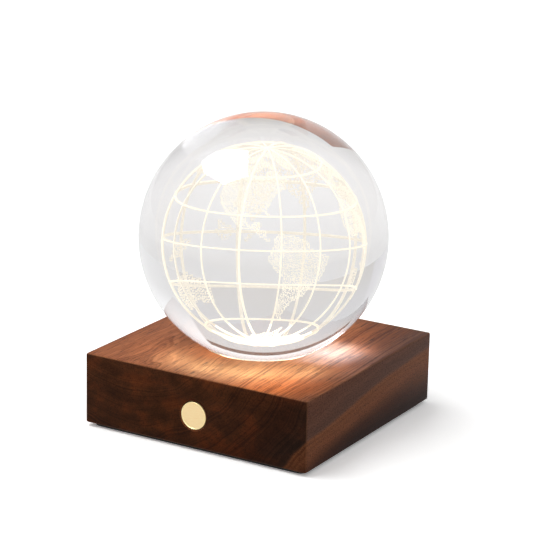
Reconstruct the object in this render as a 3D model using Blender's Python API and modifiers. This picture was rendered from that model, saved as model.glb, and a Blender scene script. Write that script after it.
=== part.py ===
"""A crystal table lamp: an engraved crystal ball that rests on a lit seat in a walnut block.

Metres, +Z up. The origin is the middle of the underside of the anti-slip pad. The push
button is on the -Y face and the charging port on the +Y face.
"""

import math

import bmesh
import bpy
from mathutils import Vector
from mathutils.geometry import interpolate_bezier

# Fits shared by all pieces, and the distance within which doubled points are one
CLEARANCE = 0.0003
OVERRUN = 0.0010
WALL_AIR = 0.0005
WELD_DISTANCE = 0.000002

# Walnut block
BASE_HEIGHT = 0.0287
BASE_EDGE_RADIUS = 0.0008
SIDE_WALL = 0.0125
TOP_WALL = 0.0076
POCKET_CORNER_RADIUS = 0.0060
SEAT_EDGE_EASE = 0.0005

# Anti-slip pad and bottom cover
PAD_THICKNESS = 0.0014
PAD_INSET = 0.0020
PAD_CORNER_RADIUS = 0.0030
COVER_THICKNESS = 0.0020
COVER_RIM = 0.0040
COVER_CORNER_RADIUS = 0.0030

# Crystal ball and the globe engraved in it
BALL_RADIUS = 0.0492
BALL_SINK = 0.0055
GLOBE_RADIUS = 0.0252
GLOBE_OFFSET_X = -0.0012
GLOBE_OFFSET_Y = 0.0026
GLOBE_DROP = 0.0026
GLOBE_TILT_X = math.radians(-8.6)
GLOBE_TILT_Y = math.radians(-4.5)
GLOBE_TURN = math.radians(-46.9)
GLOBE_LINE_RADIUS = 0.0004
GLOBE_HUB_RADIUS = 0.0022
GLOBE_HUB_OVERLAP_SHARE = 0.86
GLOBE_PARALLEL_SHARE = 0.994
GLOBE_MERIDIANS = 12
GLOBE_PARALLELS = [math.radians(degrees) for degrees in (-55.7, -24.4, 0.0, 24.4, 55.7)]
MERIDIAN_STEPS = 14
PARALLEL_STEPS = 2 * GLOBE_MERIDIANS

# Ball seat: cup, gasket, diffuser, spacer ring
GASKET_SECTION_RADIUS = 0.0016
GASKET_INSET = 0.0030
CUP_LIP = 0.0008
CUP_LIP_DROP = 0.0012
CUP_INNER_LIP = 0.0014
CUP_FLANGE_WIDTH = 0.0084
CUP_FLANGE_THICKNESS = 0.0018
CUP_SKIRT_WALL = 0.0034
WELL_DEPTH = 0.0047
DIFFUSER_THICKNESS = 0.0020
DIFFUSER_LEDGE = 0.0013
SPACER_WALL = 0.0027

# Lighting board and heat plate
LED_BOARD_THICKNESS = 0.0016
LED_COUNT = 6
LED_CIRCLE_RADIUS = 0.0100
LED_LENGTH = 0.0035
LED_WIDTH = 0.0028
LED_HEIGHT = 0.0008
HEAT_PLATE_THICKNESS = 0.0013

# Battery and its tape
BATTERY_LENGTH = 0.0500
BATTERY_WIDTH = 0.0340
BATTERY_THICKNESS = 0.0050
BATTERY_EDGE_RADIUS = 0.0012
BATTERY_OFFSET_Y = 0.0010
BATTERY_AIR = 0.0008
TAPE_THICKNESS = 0.0005
TAPE_MARGIN = 0.0020
CRADLE_RIB_THICKNESS = 0.0012
CRADLE_RIB_HEIGHT = 0.0020
CRADLE_RIB_SHARE = 0.6

# Push button
BUTTON_RADIUS = 0.0056
BUTTON_RING_GAP = 0.0004
BUTTON_CENTRE_HEIGHT = 0.0128
BUTTON_RECESS = 0.0001
BUTTON_TRAVEL = 0.0010
CAP_CHAMFER = 0.0005
CAP_STEP_DEPTH = 0.0042
CAP_FLANGE_WIDTH = 0.0014
CAP_FLANGE_THICKNESS = 0.0012
CAP_SOCKET_DEPTH = 0.0018
STEM_RADIUS = 0.0020
GUIDE_DEPTH = 0.0106
GUIDE_PLATE_THICKNESS = 0.0013
GUIDE_PLATE_LENGTH = 0.0270
GUIDE_PLATE_HEIGHT = 0.0080
SPRING_RADIUS = 0.0042
SPRING_WIRE_RADIUS = 0.00025
SPRING_TURNS = 3.5
SPRING_STEPS_A_TURN = 10

# Push switch
SWITCH_WIDTH = 0.0070
SWITCH_LENGTH = 0.0060
SWITCH_HEIGHT = 0.0072
SWITCH_AXIS_HEIGHT = 0.0041
SWITCH_TO_CUP = 0.0044
ACTUATOR_RADIUS = 0.0015
ACTUATOR_REACH = 0.0020
ACTUATOR_HIDDEN_LENGTH = 0.0018

# Main board
BOARD_THICKNESS = 0.0016
BOARD_LENGTH = 0.0600
BOARD_WIDTH = 0.0128
CONNECTOR_LENGTH = 0.0050
CONNECTOR_WIDTH = 0.0042
CONNECTOR_HEIGHT = 0.0034
CONNECTOR_EDGE_DISTANCE = 0.0072
CHIP_SIDE = 0.0040
CHIP_HEIGHT = 0.0010
CHIP_EDGE_DISTANCE = 0.0026
INDUCTOR_SIDE = 0.0050
INDUCTOR_HEIGHT = 0.0028
PART_SPACING = 0.0015
STANDOFF_RADIUS = 0.0026
STANDOFF_INSET = 0.0034

# Charging port
PORT_CENTRE_HEIGHT = 0.0096
PORT_WIDTH = 0.0126
PORT_HEIGHT = 0.0068
PORT_CORNER_RADIUS = 0.0020
BEZEL_WALL = 0.0009
BEZEL_LENGTH = 0.0050
BEZEL_BACK_WALL = 0.0009
BEZEL_RECESS = 0.0001
USB_WIDTH = 0.0089
USB_HEIGHT = 0.0032
USB_LENGTH = 0.0073
USB_CORNER_RADIUS = 0.0012
USB_SHEET = 0.0003
TONGUE_WIDTH = 0.0066
TONGUE_THICKNESS = 0.0007
USB_BOARD_THICKNESS = 0.0012
USB_BOARD_LENGTH = 0.0164
USB_BOARD_WIDTH = 0.0270
USB_BOARD_OFFSET_X = 0.0040
USB_BAY_ROOM = 0.0010
USB_BAY_HEIGHT = 0.0140
INDICATOR_X = 0.0135
INDICATOR_RADIUS = 0.0011
INDICATOR_LED_SIDE = 0.0016

# Fasteners: head radius, head height, shank radius, length
COVER_SCREW = (0.0028, 0.0015, 0.0015, 0.0110)
CUP_SCREW = (0.0022, 0.0012, 0.0011, 0.0070)
SMALL_SCREW = (0.0015, 0.0009, 0.0007, 0.0050)
RECESS_WIDTH_SHARE = 0.28
RECESS_LENGTH_SHARE = 1.3
RECESS_DEPTH_SHARE = 0.6

# Leads
LEAD_RADIUS = 0.0005
LEAD_SPACING = 0.0020
LEAD_BEND_RADIUS = 0.0040
LEVEL_SHARE = 0.2
CHARGE_LEAD_X = 0.0130

# Facets around a turned piece, steps round a small arc and along a stretch of lead
FINE_STEPS = 40
BUTTON_STEPS = 32
ROUND_STEPS = 20
SMALL_STEPS = 10
GASKET_SECTION_STEPS = 8
LEAD_CURVE_STEPS = 4
SMOOTH_ANGLE = math.radians(35)

# Heights and depths that several pieces share
WOOD_BOTTOM = PAD_THICKNESS
WOOD_TOP = WOOD_BOTTOM + BASE_HEIGHT
COVER_TOP = WOOD_BOTTOM + COVER_THICKNESS
CEILING = WOOD_TOP - TOP_WALL
BALL_CENTRE_Z = WOOD_TOP - BALL_SINK + BALL_RADIUS
BALL_MOUTH_RADIUS = math.sqrt(BALL_SINK * (2 * BALL_RADIUS - BALL_SINK))
SEAT_RADIUS = BALL_MOUTH_RADIUS + CLEARANCE
CUP_RADIUS = SEAT_RADIUS - CLEARANCE
CUP_FLANGE_RADIUS = CUP_RADIUS + CUP_FLANGE_WIDTH
CUP_FLANGE_TOP = CEILING - CLEARANCE
CUP_FLANGE_BOTTOM = CUP_FLANGE_TOP - CUP_FLANGE_THICKNESS
GASKET_SEAT_OUTER = CUP_RADIUS - CUP_LIP
GASKET_RADIUS = GASKET_SEAT_OUTER - CLEARANCE - GASKET_SECTION_RADIUS
GASKET_SEAT_INNER = GASKET_RADIUS - GASKET_SECTION_RADIUS - CLEARANCE
GASKET_FROM_BALL = BALL_RADIUS + CLEARANCE + GASKET_SECTION_RADIUS
GASKET_Z = BALL_CENTRE_Z - math.sqrt(GASKET_FROM_BALL**2 - GASKET_RADIUS**2)
GASKET_FLOOR = GASKET_Z - GASKET_SECTION_RADIUS - CLEARANCE
WELL_RADIUS = GASKET_SEAT_INNER - CUP_LIP
DIFFUSER_TOP = BALL_CENTRE_Z - BALL_RADIUS - WELL_DEPTH
DIFFUSER_BOTTOM = DIFFUSER_TOP - DIFFUSER_THICKNESS
DIFFUSER_RADIUS = WELL_RADIUS + DIFFUSER_LEDGE - CLEARANCE
SKIRT_BORE = DIFFUSER_RADIUS + CLEARANCE
SKIRT_RADIUS = SKIRT_BORE + CUP_SKIRT_WALL
TAPE_BOTTOM = COVER_TOP + CLEARANCE
BATTERY_BOTTOM = TAPE_BOTTOM + TAPE_THICKNESS + CLEARANCE
BATTERY_TOP = BATTERY_BOTTOM + BATTERY_THICKNESS
HEAT_PLATE_BOTTOM = BATTERY_TOP + BATTERY_AIR
HEAT_PLATE_TOP = HEAT_PLATE_BOTTOM + HEAT_PLATE_THICKNESS
LED_BOARD_BOTTOM = HEAT_PLATE_TOP + CLEARANCE
LED_BOARD_TOP = LED_BOARD_BOTTOM + LED_BOARD_THICKNESS
SKIRT_BOTTOM = HEAT_PLATE_TOP + CLEARANCE
PLATE_SCREW_CIRCLE = (SKIRT_BORE + SKIRT_RADIUS) / 2
CUP_SCREW_CIRCLE = (SEAT_RADIUS + CUP_FLANGE_RADIUS) / 2
BUTTON_Z = WOOD_BOTTOM + BUTTON_CENTRE_HEIGHT
CAP_FLANGE_RADIUS = BUTTON_RADIUS + CAP_FLANGE_WIDTH
GUIDE_BORE_RADIUS = CAP_FLANGE_RADIUS + 2 * CLEARANCE
CAP_FLANGE_FRONT = CAP_STEP_DEPTH + CLEARANCE
CAP_FLANGE_BACK = CAP_FLANGE_FRONT + CAP_FLANGE_THICKNESS
GUIDE_PLATE_FRONT = SIDE_WALL + CLEARANCE
GUIDE_PLATE_BACK = GUIDE_PLATE_FRONT + GUIDE_PLATE_THICKNESS
GUIDE_SCREW_X = (GUIDE_BORE_RADIUS + GUIDE_PLATE_LENGTH / 2) / 2
BOARD_FRONT = GUIDE_PLATE_BACK + WALL_AIR
STEM_TIP = GUIDE_PLATE_BACK + BUTTON_TRAVEL + CLEARANCE
ACTUATOR_FRONT = STEM_TIP + CLEARANCE
SWITCH_FRONT = ACTUATOR_FRONT + ACTUATOR_REACH
BASE_HALF = SWITCH_FRONT + SWITCH_LENGTH + SWITCH_TO_CUP + SKIRT_RADIUS
BASE_SIDE = 2 * BASE_HALF
POCKET_HALF = BASE_HALF - SIDE_WALL
COVER_HALF = BASE_HALF - COVER_RIM
COVER_SCREW_OFFSET = (POCKET_HALF + COVER_HALF) / 2
BOARD_TOP = BUTTON_Z - SWITCH_AXIS_HEIGHT - CLEARANCE
BOARD_BOTTOM = BOARD_TOP - BOARD_THICKNESS
BOARD_Y = -BASE_HALF + BOARD_FRONT + BOARD_WIDTH / 2
CONNECTOR_Y = -BASE_HALF + BOARD_FRONT + CONNECTOR_EDGE_DISTANCE
CHIP_Y = -BASE_HALF + BOARD_FRONT + CHIP_EDGE_DISTANCE
STANDOFF_X = BOARD_LENGTH / 2 - STANDOFF_INSET
BOARD_BACK_Y = BOARD_Y + BOARD_WIDTH / 2
PARTS_END_X = STANDOFF_X - SMALL_SCREW[0] - PART_SPACING
CHARGE_CONNECTOR_X = PARTS_END_X - CONNECTOR_LENGTH / 2
BATTERY_CONNECTOR_X = CHARGE_CONNECTOR_X - CONNECTOR_LENGTH - PART_SPACING
LED_CONNECTOR_X = -SWITCH_WIDTH / 2 - 2 * PART_SPACING - CONNECTOR_LENGTH / 2
INDUCTOR_X = -PARTS_END_X + INDUCTOR_SIDE / 2
DRIVER_CHIP_X = INDUCTOR_X + INDUCTOR_SIDE / 2 + PART_SPACING + CHIP_SIDE / 2
PORT_Z = WOOD_BOTTOM + PORT_CENTRE_HEIGHT
BEZEL_OUTER_WIDTH = PORT_WIDTH + 2 * BEZEL_WALL
BEZEL_OUTER_HEIGHT = PORT_HEIGHT + 2 * BEZEL_WALL
BEZEL_BACK_Y = BASE_HALF - BEZEL_RECESS - BEZEL_LENGTH
USB_FRONT_Y = BEZEL_BACK_Y - CLEARANCE
USB_BOARD_EDGE_Y = USB_FRONT_Y - CLEARANCE
USB_BOARD_TOP = PORT_Z - USB_HEIGHT / 2 - CLEARANCE
USB_BOARD_BOTTOM = USB_BOARD_TOP - USB_BOARD_THICKNESS
USB_BOARD_Y = USB_BOARD_EDGE_Y - USB_BOARD_LENGTH / 2
USB_STANDOFF_X = USB_BOARD_WIDTH / 2 - STANDOFF_INSET
USB_STANDOFF_Y = USB_BOARD_EDGE_Y - USB_BOARD_LENGTH + STANDOFF_INSET
INDICATOR_Z = USB_BOARD_TOP + CLEARANCE + INDICATOR_LED_SIDE / 2


def clear_scene():
    for obj in list(bpy.data.objects):
        bpy.data.objects.remove(obj, do_unlink=True)


def new_collection(name):
    collection = bpy.data.collections.new(name)
    bpy.context.scene.collection.children.link(collection)
    return collection


def material(name, colour, roughness, metallic=0.0, transmission=0.0):
    made = bpy.data.materials.new(name)
    made.use_nodes = True
    made.diffuse_color = (*colour, 1.0)
    shader = made.node_tree.nodes["Principled BSDF"]
    shader.inputs["Base Color"].default_value = (*colour, 1.0)
    shader.inputs["Roughness"].default_value = roughness
    shader.inputs["Metallic"].default_value = metallic
    shader.inputs["Transmission Weight"].default_value = transmission
    return made


def new_object(name, mesh, finish, location=(0, 0, 0)):
    """An object in the lamp's collection, or among the cutters where it has no finish."""
    obj = bpy.data.objects.new(name, mesh)
    obj.location = location
    if finish is None:
        CUTTERS.objects.link(obj)
        obj.hide_render = True
        obj.display_type = "WIRE"
    else:
        LAMP.objects.link(obj)
        if not mesh.materials:
            mesh.materials.append(finish)
    return obj


def block(name, size, location, finish=None, corner_radius=0.0, corner_axis=2, segments=3):
    """A box whose edges along one axis are rounded."""
    mesh = bpy.data.meshes.new(name)
    form = bmesh.new()
    bmesh.ops.create_cube(form, size=1)
    bmesh.ops.scale(form, vec=size, verts=form.verts)
    if corner_radius:
        along = [
            edge
            for edge in form.edges
            if abs((edge.verts[1].co - edge.verts[0].co).normalized()[corner_axis]) > 0.9
        ]
        bmesh.ops.bevel(
            form, geom=along, offset=corner_radius, segments=segments, affect="EDGES", profile=0.5
        )
    form.to_mesh(mesh)
    form.free()
    return new_object(name, mesh, finish, location)


def turned(name, profile, location, finish=None, steps=ROUND_STEPS, ring=False):
    """A profile of (radius, height) points swept round Z; a ring's profile closes on itself."""
    mesh = bpy.data.meshes.new(name)
    points = [(radius, 0, height) for radius, height in profile]
    edges = [(index, index + 1) for index in range(len(points) - 1)]
    if ring:
        edges.append((len(points) - 1, 0))
    mesh.from_pydata(points, edges, [])
    obj = new_object(name, mesh, finish, location)
    screw = obj.modifiers.new("turn", "SCREW")
    screw.steps = steps
    screw.render_steps = steps
    screw.use_merge_vertices = True
    screw.merge_threshold = WELD_DISTANCE
    return obj


def cylinder(name, radius, bottom, top, location, finish=None, steps=ROUND_STEPS):
    return turned(name, [(0, top), (radius, top), (radius, bottom), (0, bottom)], location, finish, steps)


def combine(piece, other, operation="DIFFERENCE"):
    boolean = piece.modifiers.new(operation.lower(), "BOOLEAN")
    boolean.operation = operation
    boolean.object = other
    boolean.solver = "EXACT"
    return boolean


def combine_all(piece, others, operation="DIFFERENCE"):
    for other in others:
        combine(piece, other, operation)


def evaluated_mesh(obj):
    """The mesh of an object with its modifiers carried out, its doubled points merged."""
    graph = bpy.context.evaluated_depsgraph_get()
    mesh = bpy.data.meshes.new_from_object(obj.evaluated_get(graph))
    form = bmesh.new()
    form.from_mesh(mesh)
    bmesh.ops.remove_doubles(form, verts=form.verts, dist=WELD_DISTANCE)
    form.to_mesh(mesh)
    form.free()
    return mesh


def smooth_by_angle():
    """A node group that shades faces smooth and keeps the edges over an angle sharp."""
    group = bpy.data.node_groups.new("smooth by angle", "GeometryNodeTree")
    for way in ("INPUT", "OUTPUT"):
        group.interface.new_socket("Geometry", in_out=way, socket_type="NodeSocketGeometry")
    start = group.nodes.new("NodeGroupInput")
    end = group.nodes.new("NodeGroupOutput")
    angle = group.nodes.new("GeometryNodeInputMeshEdgeAngle")
    over = group.nodes.new("FunctionNodeCompare")
    over.operation = "GREATER_THAN"
    over.inputs[1].default_value = SMOOTH_ANGLE
    faces = group.nodes.new("GeometryNodeSetShadeSmooth")
    edges = group.nodes.new("GeometryNodeSetShadeSmooth")
    edges.domain = "EDGE"
    edges.inputs["Shade Smooth"].default_value = False
    group.links.new(start.outputs["Geometry"], faces.inputs["Geometry"])
    group.links.new(faces.outputs["Geometry"], edges.inputs["Geometry"])
    group.links.new(angle.outputs["Unsigned Angle"], over.inputs[0])
    group.links.new(over.outputs["Result"], edges.inputs["Selection"])
    group.links.new(edges.outputs["Geometry"], end.inputs["Geometry"])
    return group


def shade_round(objects):
    """Shades every mesh smooth, as its last modifier."""
    group = smooth_by_angle()
    for obj in objects:
        if obj.type == "MESH":
            obj.modifiers.new("smooth shading", "NODES").node_group = group


def arc_points(centre, radius, start, end, steps):
    """Points of an arc in a profile plane, at equal angles from start to end."""
    return [
        (
            centre[0] + radius * math.cos(start + (end - start) * step / steps),
            centre[1] + radius * math.sin(start + (end - start) * step / steps),
        )
        for step in range(steps + 1)
    ]


def on_circle(radius, count, turn=0.0):
    """Places at equal angles on a circle round Z."""
    return [
        (
            radius * math.cos(turn + 2 * math.pi * index / count),
            radius * math.sin(turn + 2 * math.pi * index / count),
        )
        for index in range(count)
    ]


# Walnut block: a solid block, routed from below, bored for the seat, button and port


def walnut_block():
    obj = block(
        "walnut_block",
        (BASE_SIDE, BASE_SIDE, BASE_HEIGHT),
        (0, 0, (WOOD_BOTTOM + WOOD_TOP) / 2),
        WALNUT,
    )
    bevel = obj.modifiers.new("eased edges", "BEVEL")
    bevel.width = BASE_EDGE_RADIUS
    bevel.segments = 2
    combine_all(obj, [pocket_cutter(), cover_rebate_cutter(), seat_cutter(), button_bore_cutter()])
    combine_all(obj, [port_cutter(), usb_bay_cutter(), indicator_bore_cutter()])
    combine_all(obj, wood_screw_hole_cutters())
    return obj


def pocket_cutter():
    bottom = WOOD_BOTTOM - OVERRUN
    return block(
        "pocket_cutter",
        (2 * POCKET_HALF, 2 * POCKET_HALF, CEILING - bottom),
        (0, 0, (CEILING + bottom) / 2),
        corner_radius=POCKET_CORNER_RADIUS,
        segments=4,
    )


def cover_rebate_cutter():
    bottom = WOOD_BOTTOM - OVERRUN
    top = COVER_TOP + CLEARANCE
    side = 2 * (COVER_HALF + CLEARANCE)
    return block(
        "cover_rebate_cutter",
        (side, side, top - bottom),
        (0, 0, (top + bottom) / 2),
        corner_radius=COVER_CORNER_RADIUS,
    )


def seat_cutter():
    top = WOOD_TOP + OVERRUN
    bottom = CEILING - OVERRUN
    profile = [
        (0, top),
        (SEAT_RADIUS + SEAT_EDGE_EASE + OVERRUN, top),
        (SEAT_RADIUS, WOOD_TOP - SEAT_EDGE_EASE),
        (SEAT_RADIUS, bottom),
        (0, bottom),
    ]
    return turned("seat_cutter", profile, (0, 0, 0), steps=FINE_STEPS)


def button_bore_cutter():
    """A stepped bore; local +Z points out of the block's front face."""
    radius = BUTTON_RADIUS + BUTTON_RING_GAP
    profile = [
        (0, OVERRUN),
        (radius, OVERRUN),
        (radius, -CAP_STEP_DEPTH),
        (GUIDE_BORE_RADIUS, -CAP_STEP_DEPTH),
        (GUIDE_BORE_RADIUS, -SIDE_WALL - OVERRUN),
        (0, -SIDE_WALL - OVERRUN),
    ]
    obj = turned("button_bore_cutter", profile, (0, -BASE_HALF, BUTTON_Z), steps=BUTTON_STEPS)
    obj.rotation_euler = (math.pi / 2, 0, 0)
    return obj


def port_cutter():
    depth = BASE_HALF - POCKET_HALF + OVERRUN
    return block(
        "port_cutter",
        (BEZEL_OUTER_WIDTH + 2 * CLEARANCE, depth, BEZEL_OUTER_HEIGHT + 2 * CLEARANCE),
        (0, BASE_HALF + OVERRUN - depth / 2, PORT_Z),
        corner_radius=PORT_CORNER_RADIUS + BEZEL_WALL + CLEARANCE,
        corner_axis=1,
    )


def usb_bay_cutter():
    """Room for the charging board, routed into the back wall behind the bezel."""
    front = POCKET_HALF - OVERRUN
    back = BEZEL_BACK_Y - CLEARANCE
    bottom = COVER_TOP
    top = WOOD_BOTTOM + USB_BAY_HEIGHT
    return block(
        "usb_bay_cutter",
        (USB_BOARD_WIDTH + 2 * USB_BAY_ROOM, back - front, top - bottom),
        (USB_BOARD_OFFSET_X, (back + front) / 2, (top + bottom) / 2),
    )


def indicator_bore_cutter():
    length = BASE_HALF - POCKET_HALF
    obj = cylinder(
        "indicator_bore_cutter",
        INDICATOR_RADIUS + CLEARANCE,
        -length,
        OVERRUN,
        (INDICATOR_X, BASE_HALF, INDICATOR_Z),
        steps=SMALL_STEPS,
    )
    obj.rotation_euler = (-math.pi / 2, 0, 0)
    return obj


def wood_screw_hole_cutters():
    """Pilot holes for the cover, cup and guide screws."""
    cutters = []
    for index, (x, y) in enumerate(cover_screw_places()):
        radius = COVER_SCREW[2] + CLEARANCE
        top = WOOD_BOTTOM + COVER_SCREW[3] + CLEARANCE
        cutters.append(
            cylinder(f"cover_pilot_{index}", radius, COVER_TOP, top, (x, y, 0), steps=SMALL_STEPS)
        )
    for index, (x, y) in enumerate(cup_screw_places()):
        radius = CUP_SCREW[2] + CLEARANCE
        top = CUP_FLANGE_BOTTOM + CUP_SCREW[3] - CUP_SCREW[1] + CLEARANCE
        cutters.append(
            cylinder(f"cup_pilot_{index}", radius, CEILING - OVERRUN, top, (x, y, 0), steps=SMALL_STEPS)
        )
    for index, x in enumerate((-GUIDE_SCREW_X, GUIDE_SCREW_X)):
        radius = SMALL_SCREW[2] + CLEARANCE
        depth = SMALL_SCREW[3] - SMALL_SCREW[1] - GUIDE_PLATE_THICKNESS
        obj = cylinder(
            f"guide_pilot_{index}",
            radius,
            -OVERRUN,
            depth,
            (x, -POCKET_HALF, BUTTON_Z),
            steps=SMALL_STEPS,
        )
        obj.rotation_euler = (math.pi / 2, 0, 0)
        cutters.append(obj)
    return cutters


# Bottom cover with its standoffs and battery cradle, and the pad under it


def cover_screw_places():
    offset = COVER_SCREW_OFFSET
    return [(offset, offset), (-offset, offset), (-offset, -offset), (offset, -offset)]


def bottom_cover():
    side = 2 * COVER_HALF
    obj = block(
        "bottom_cover",
        (side, side, COVER_THICKNESS),
        (0, 0, (WOOD_BOTTOM + COVER_TOP) / 2),
        BLACK_ABS,
        corner_radius=COVER_CORNER_RADIUS,
    )
    combine_all(obj, cradle_ribs(), "UNION")
    combine_all(obj, standoffs(), "UNION")
    for index, (x, y) in enumerate(cover_screw_places()):
        hole = countersunk_hole(f"cover_hole_{index}", COVER_SCREW, WOOD_BOTTOM, COVER_TOP, (x, y, 0))
        combine(obj, hole)
    return obj


def countersunk_hole(name, screw, face, far_face, place):
    """A cutter for a screw that comes up from below, its head flush with the lower face."""
    head_radius, head_height, shank_radius, _ = screw
    profile = [
        (0, far_face + OVERRUN),
        (shank_radius + CLEARANCE, far_face + OVERRUN),
        (shank_radius + CLEARANCE, face + head_height + CLEARANCE),
        (head_radius + CLEARANCE, face + CLEARANCE),
        (head_radius + CLEARANCE, face - OVERRUN),
        (0, face - OVERRUN),
    ]
    return turned(name, profile, place, steps=SMALL_STEPS)


def cradle_ribs():
    """Four low ribs that keep the battery in place."""
    half_length = BATTERY_LENGTH / 2 + CLEARANCE + CRADLE_RIB_THICKNESS / 2
    half_width = BATTERY_WIDTH / 2 + CLEARANCE + CRADLE_RIB_THICKNESS / 2
    height = CRADLE_RIB_HEIGHT + COVER_THICKNESS / 2
    z = COVER_TOP - COVER_THICKNESS / 2 + height / 2
    long_rib = (BATTERY_LENGTH * CRADLE_RIB_SHARE, CRADLE_RIB_THICKNESS, height)
    short_rib = (CRADLE_RIB_THICKNESS, BATTERY_WIDTH * CRADLE_RIB_SHARE, height)
    return [
        block("cradle_front", long_rib, (0, BATTERY_OFFSET_Y - half_width, z)),
        block("cradle_back", long_rib, (0, BATTERY_OFFSET_Y + half_width, z)),
        block("cradle_left", short_rib, (-half_length, BATTERY_OFFSET_Y, z)),
        block("cradle_right", short_rib, (half_length, BATTERY_OFFSET_Y, z)),
    ]


def main_standoff_places():
    return [(-STANDOFF_X, BOARD_Y), (STANDOFF_X, BOARD_Y)]


def usb_standoff_places():
    return [
        (USB_BOARD_OFFSET_X - USB_STANDOFF_X, USB_STANDOFF_Y),
        (USB_BOARD_OFFSET_X + USB_STANDOFF_X, USB_STANDOFF_Y),
    ]


def standoffs():
    """Hollow posts under the two boards, each a ring from the cover up to its board."""
    hole = SMALL_SCREW[2] + CLEARANCE
    made = []
    for places, board_bottom in (
        (main_standoff_places(), BOARD_BOTTOM),
        (usb_standoff_places(), USB_BOARD_BOTTOM),
    ):
        top = board_bottom - CLEARANCE
        bottom = COVER_TOP - COVER_THICKNESS / 2
        profile = [(hole, top), (STANDOFF_RADIUS, top), (STANDOFF_RADIUS, bottom), (hole, bottom)]
        for x, y in places:
            name = f"standoff_{len(made)}"
            made.append(turned(name, profile, (x, y, 0), steps=SMALL_STEPS, ring=True))
    return made


def anti_slip_pad():
    side = BASE_SIDE - 2 * PAD_INSET
    thickness = PAD_THICKNESS - CLEARANCE
    return block(
        "anti_slip_pad",
        (side, side, thickness),
        (0, 0, thickness / 2),
        BLACK_RUBBER,
        corner_radius=PAD_CORNER_RADIUS,
    )


# Crystal ball: its laser marks are fine voids along a globe's lines


def globe_curve():
    """The lines of the globe as tubes about the globe's own centre."""
    curve = bpy.data.curves.new("globe_lines", "CURVE")
    curve.dimensions = "3D"
    curve.bevel_depth = GLOBE_LINE_RADIUS
    curve.bevel_resolution = 0
    curve.use_fill_caps = True
    pole_gap = GLOBE_HUB_OVERLAP_SHARE * GLOBE_HUB_RADIUS / GLOBE_RADIUS
    span = math.pi - 2 * pole_gap
    latitudes = [span * (step / MERIDIAN_STEPS - 0.5) for step in range(MERIDIAN_STEPS + 1)]
    for index in range(GLOBE_MERIDIANS):
        turn = 2 * math.pi * index / GLOBE_MERIDIANS
        add_spline(curve, [globe_point(latitude, turn) for latitude in latitudes])
    turns = [2 * math.pi * (step + 0.5) / PARALLEL_STEPS for step in range(PARALLEL_STEPS)]
    for latitude in GLOBE_PARALLELS:
        ring = [GLOBE_PARALLEL_SHARE * globe_point(latitude, turn) for turn in turns]
        add_spline(curve, ring, cyclic=True)
    return curve


def globe_point(latitude, turn):
    return Vector(
        (
            GLOBE_RADIUS * math.cos(latitude) * math.cos(turn),
            GLOBE_RADIUS * math.cos(latitude) * math.sin(turn),
            GLOBE_RADIUS * math.sin(latitude),
        )
    )


def add_spline(curve, points, cyclic=False):
    spline = curve.splines.new("POLY")
    spline.points.add(len(points) - 1)
    for target, point in zip(spline.points, points):
        target.co = (*point, 1.0)
    spline.use_cyclic_u = cyclic
    return spline


def place_in_ball(obj):
    """Puts a cutter at the globe's centre, turned as the globe is, under the ball's empty."""
    obj.parent = BALL_AXIS
    obj.location = (GLOBE_OFFSET_X, GLOBE_OFFSET_Y, -GLOBE_DROP)
    obj.rotation_mode = "ZXY"
    obj.rotation_euler = (GLOBE_TILT_X, GLOBE_TILT_Y, GLOBE_TURN)


def crystal_ball():
    mesh = bpy.data.meshes.new("crystal_ball")
    form = bmesh.new()
    bmesh.ops.create_uvsphere(form, u_segments=FINE_STEPS, v_segments=FINE_STEPS // 2, radius=BALL_RADIUS)
    form.to_mesh(mesh)
    form.free()
    ball = new_object("crystal_ball", mesh, CRYSTAL)
    ball.parent = BALL_AXIS
    guide = bpy.data.objects.new("globe_lines", globe_curve())
    CUTTERS.objects.link(guide)
    bpy.context.view_layer.update()
    lines = new_object("globe_line_cutter", evaluated_mesh(guide), None)
    bpy.data.objects.remove(guide)
    place_in_ball(lines)
    marks = bpy.data.collections.new("engraving_cutters")
    CUTTERS.children.link(marks)
    hubs = [globe_hub("north_hub_cutter", 1), globe_hub("south_hub_cutter", -1)]
    for cutter in (lines, *hubs, vent_cutter()):
        CUTTERS.objects.unlink(cutter)
        marks.objects.link(cutter)
    engraved = ball.modifiers.new("engraved globe", "BOOLEAN")
    engraved.operation = "DIFFERENCE"
    engraved.solver = "EXACT"
    engraved.operand_type = "COLLECTION"
    engraved.collection = marks
    engraved.use_self = True
    return ball


def globe_hub(name, end):
    """A small globe at one pole, +1 for north, where the meridians meet."""
    mesh = bpy.data.meshes.new(name)
    form = bmesh.new()
    rings = SMALL_STEPS // 2
    bmesh.ops.create_uvsphere(form, u_segments=SMALL_STEPS, v_segments=rings, radius=GLOBE_HUB_RADIUS)
    bmesh.ops.translate(form, vec=(0, 0, end * GLOBE_RADIUS), verts=form.verts)
    form.to_mesh(mesh)
    form.free()
    obj = new_object(name, mesh, None)
    place_in_ball(obj)
    return obj


def vent_cutter():
    """A fine bore from the globe's south pole out through the ball's underside."""
    steps = SMALL_STEPS // 2
    obj = cylinder("vent_cutter", GLOBE_LINE_RADIUS, -BALL_RADIUS, -GLOBE_RADIUS, (0, 0, 0), steps=steps)
    place_in_ball(obj)
    return obj


# Ball seat


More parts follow.
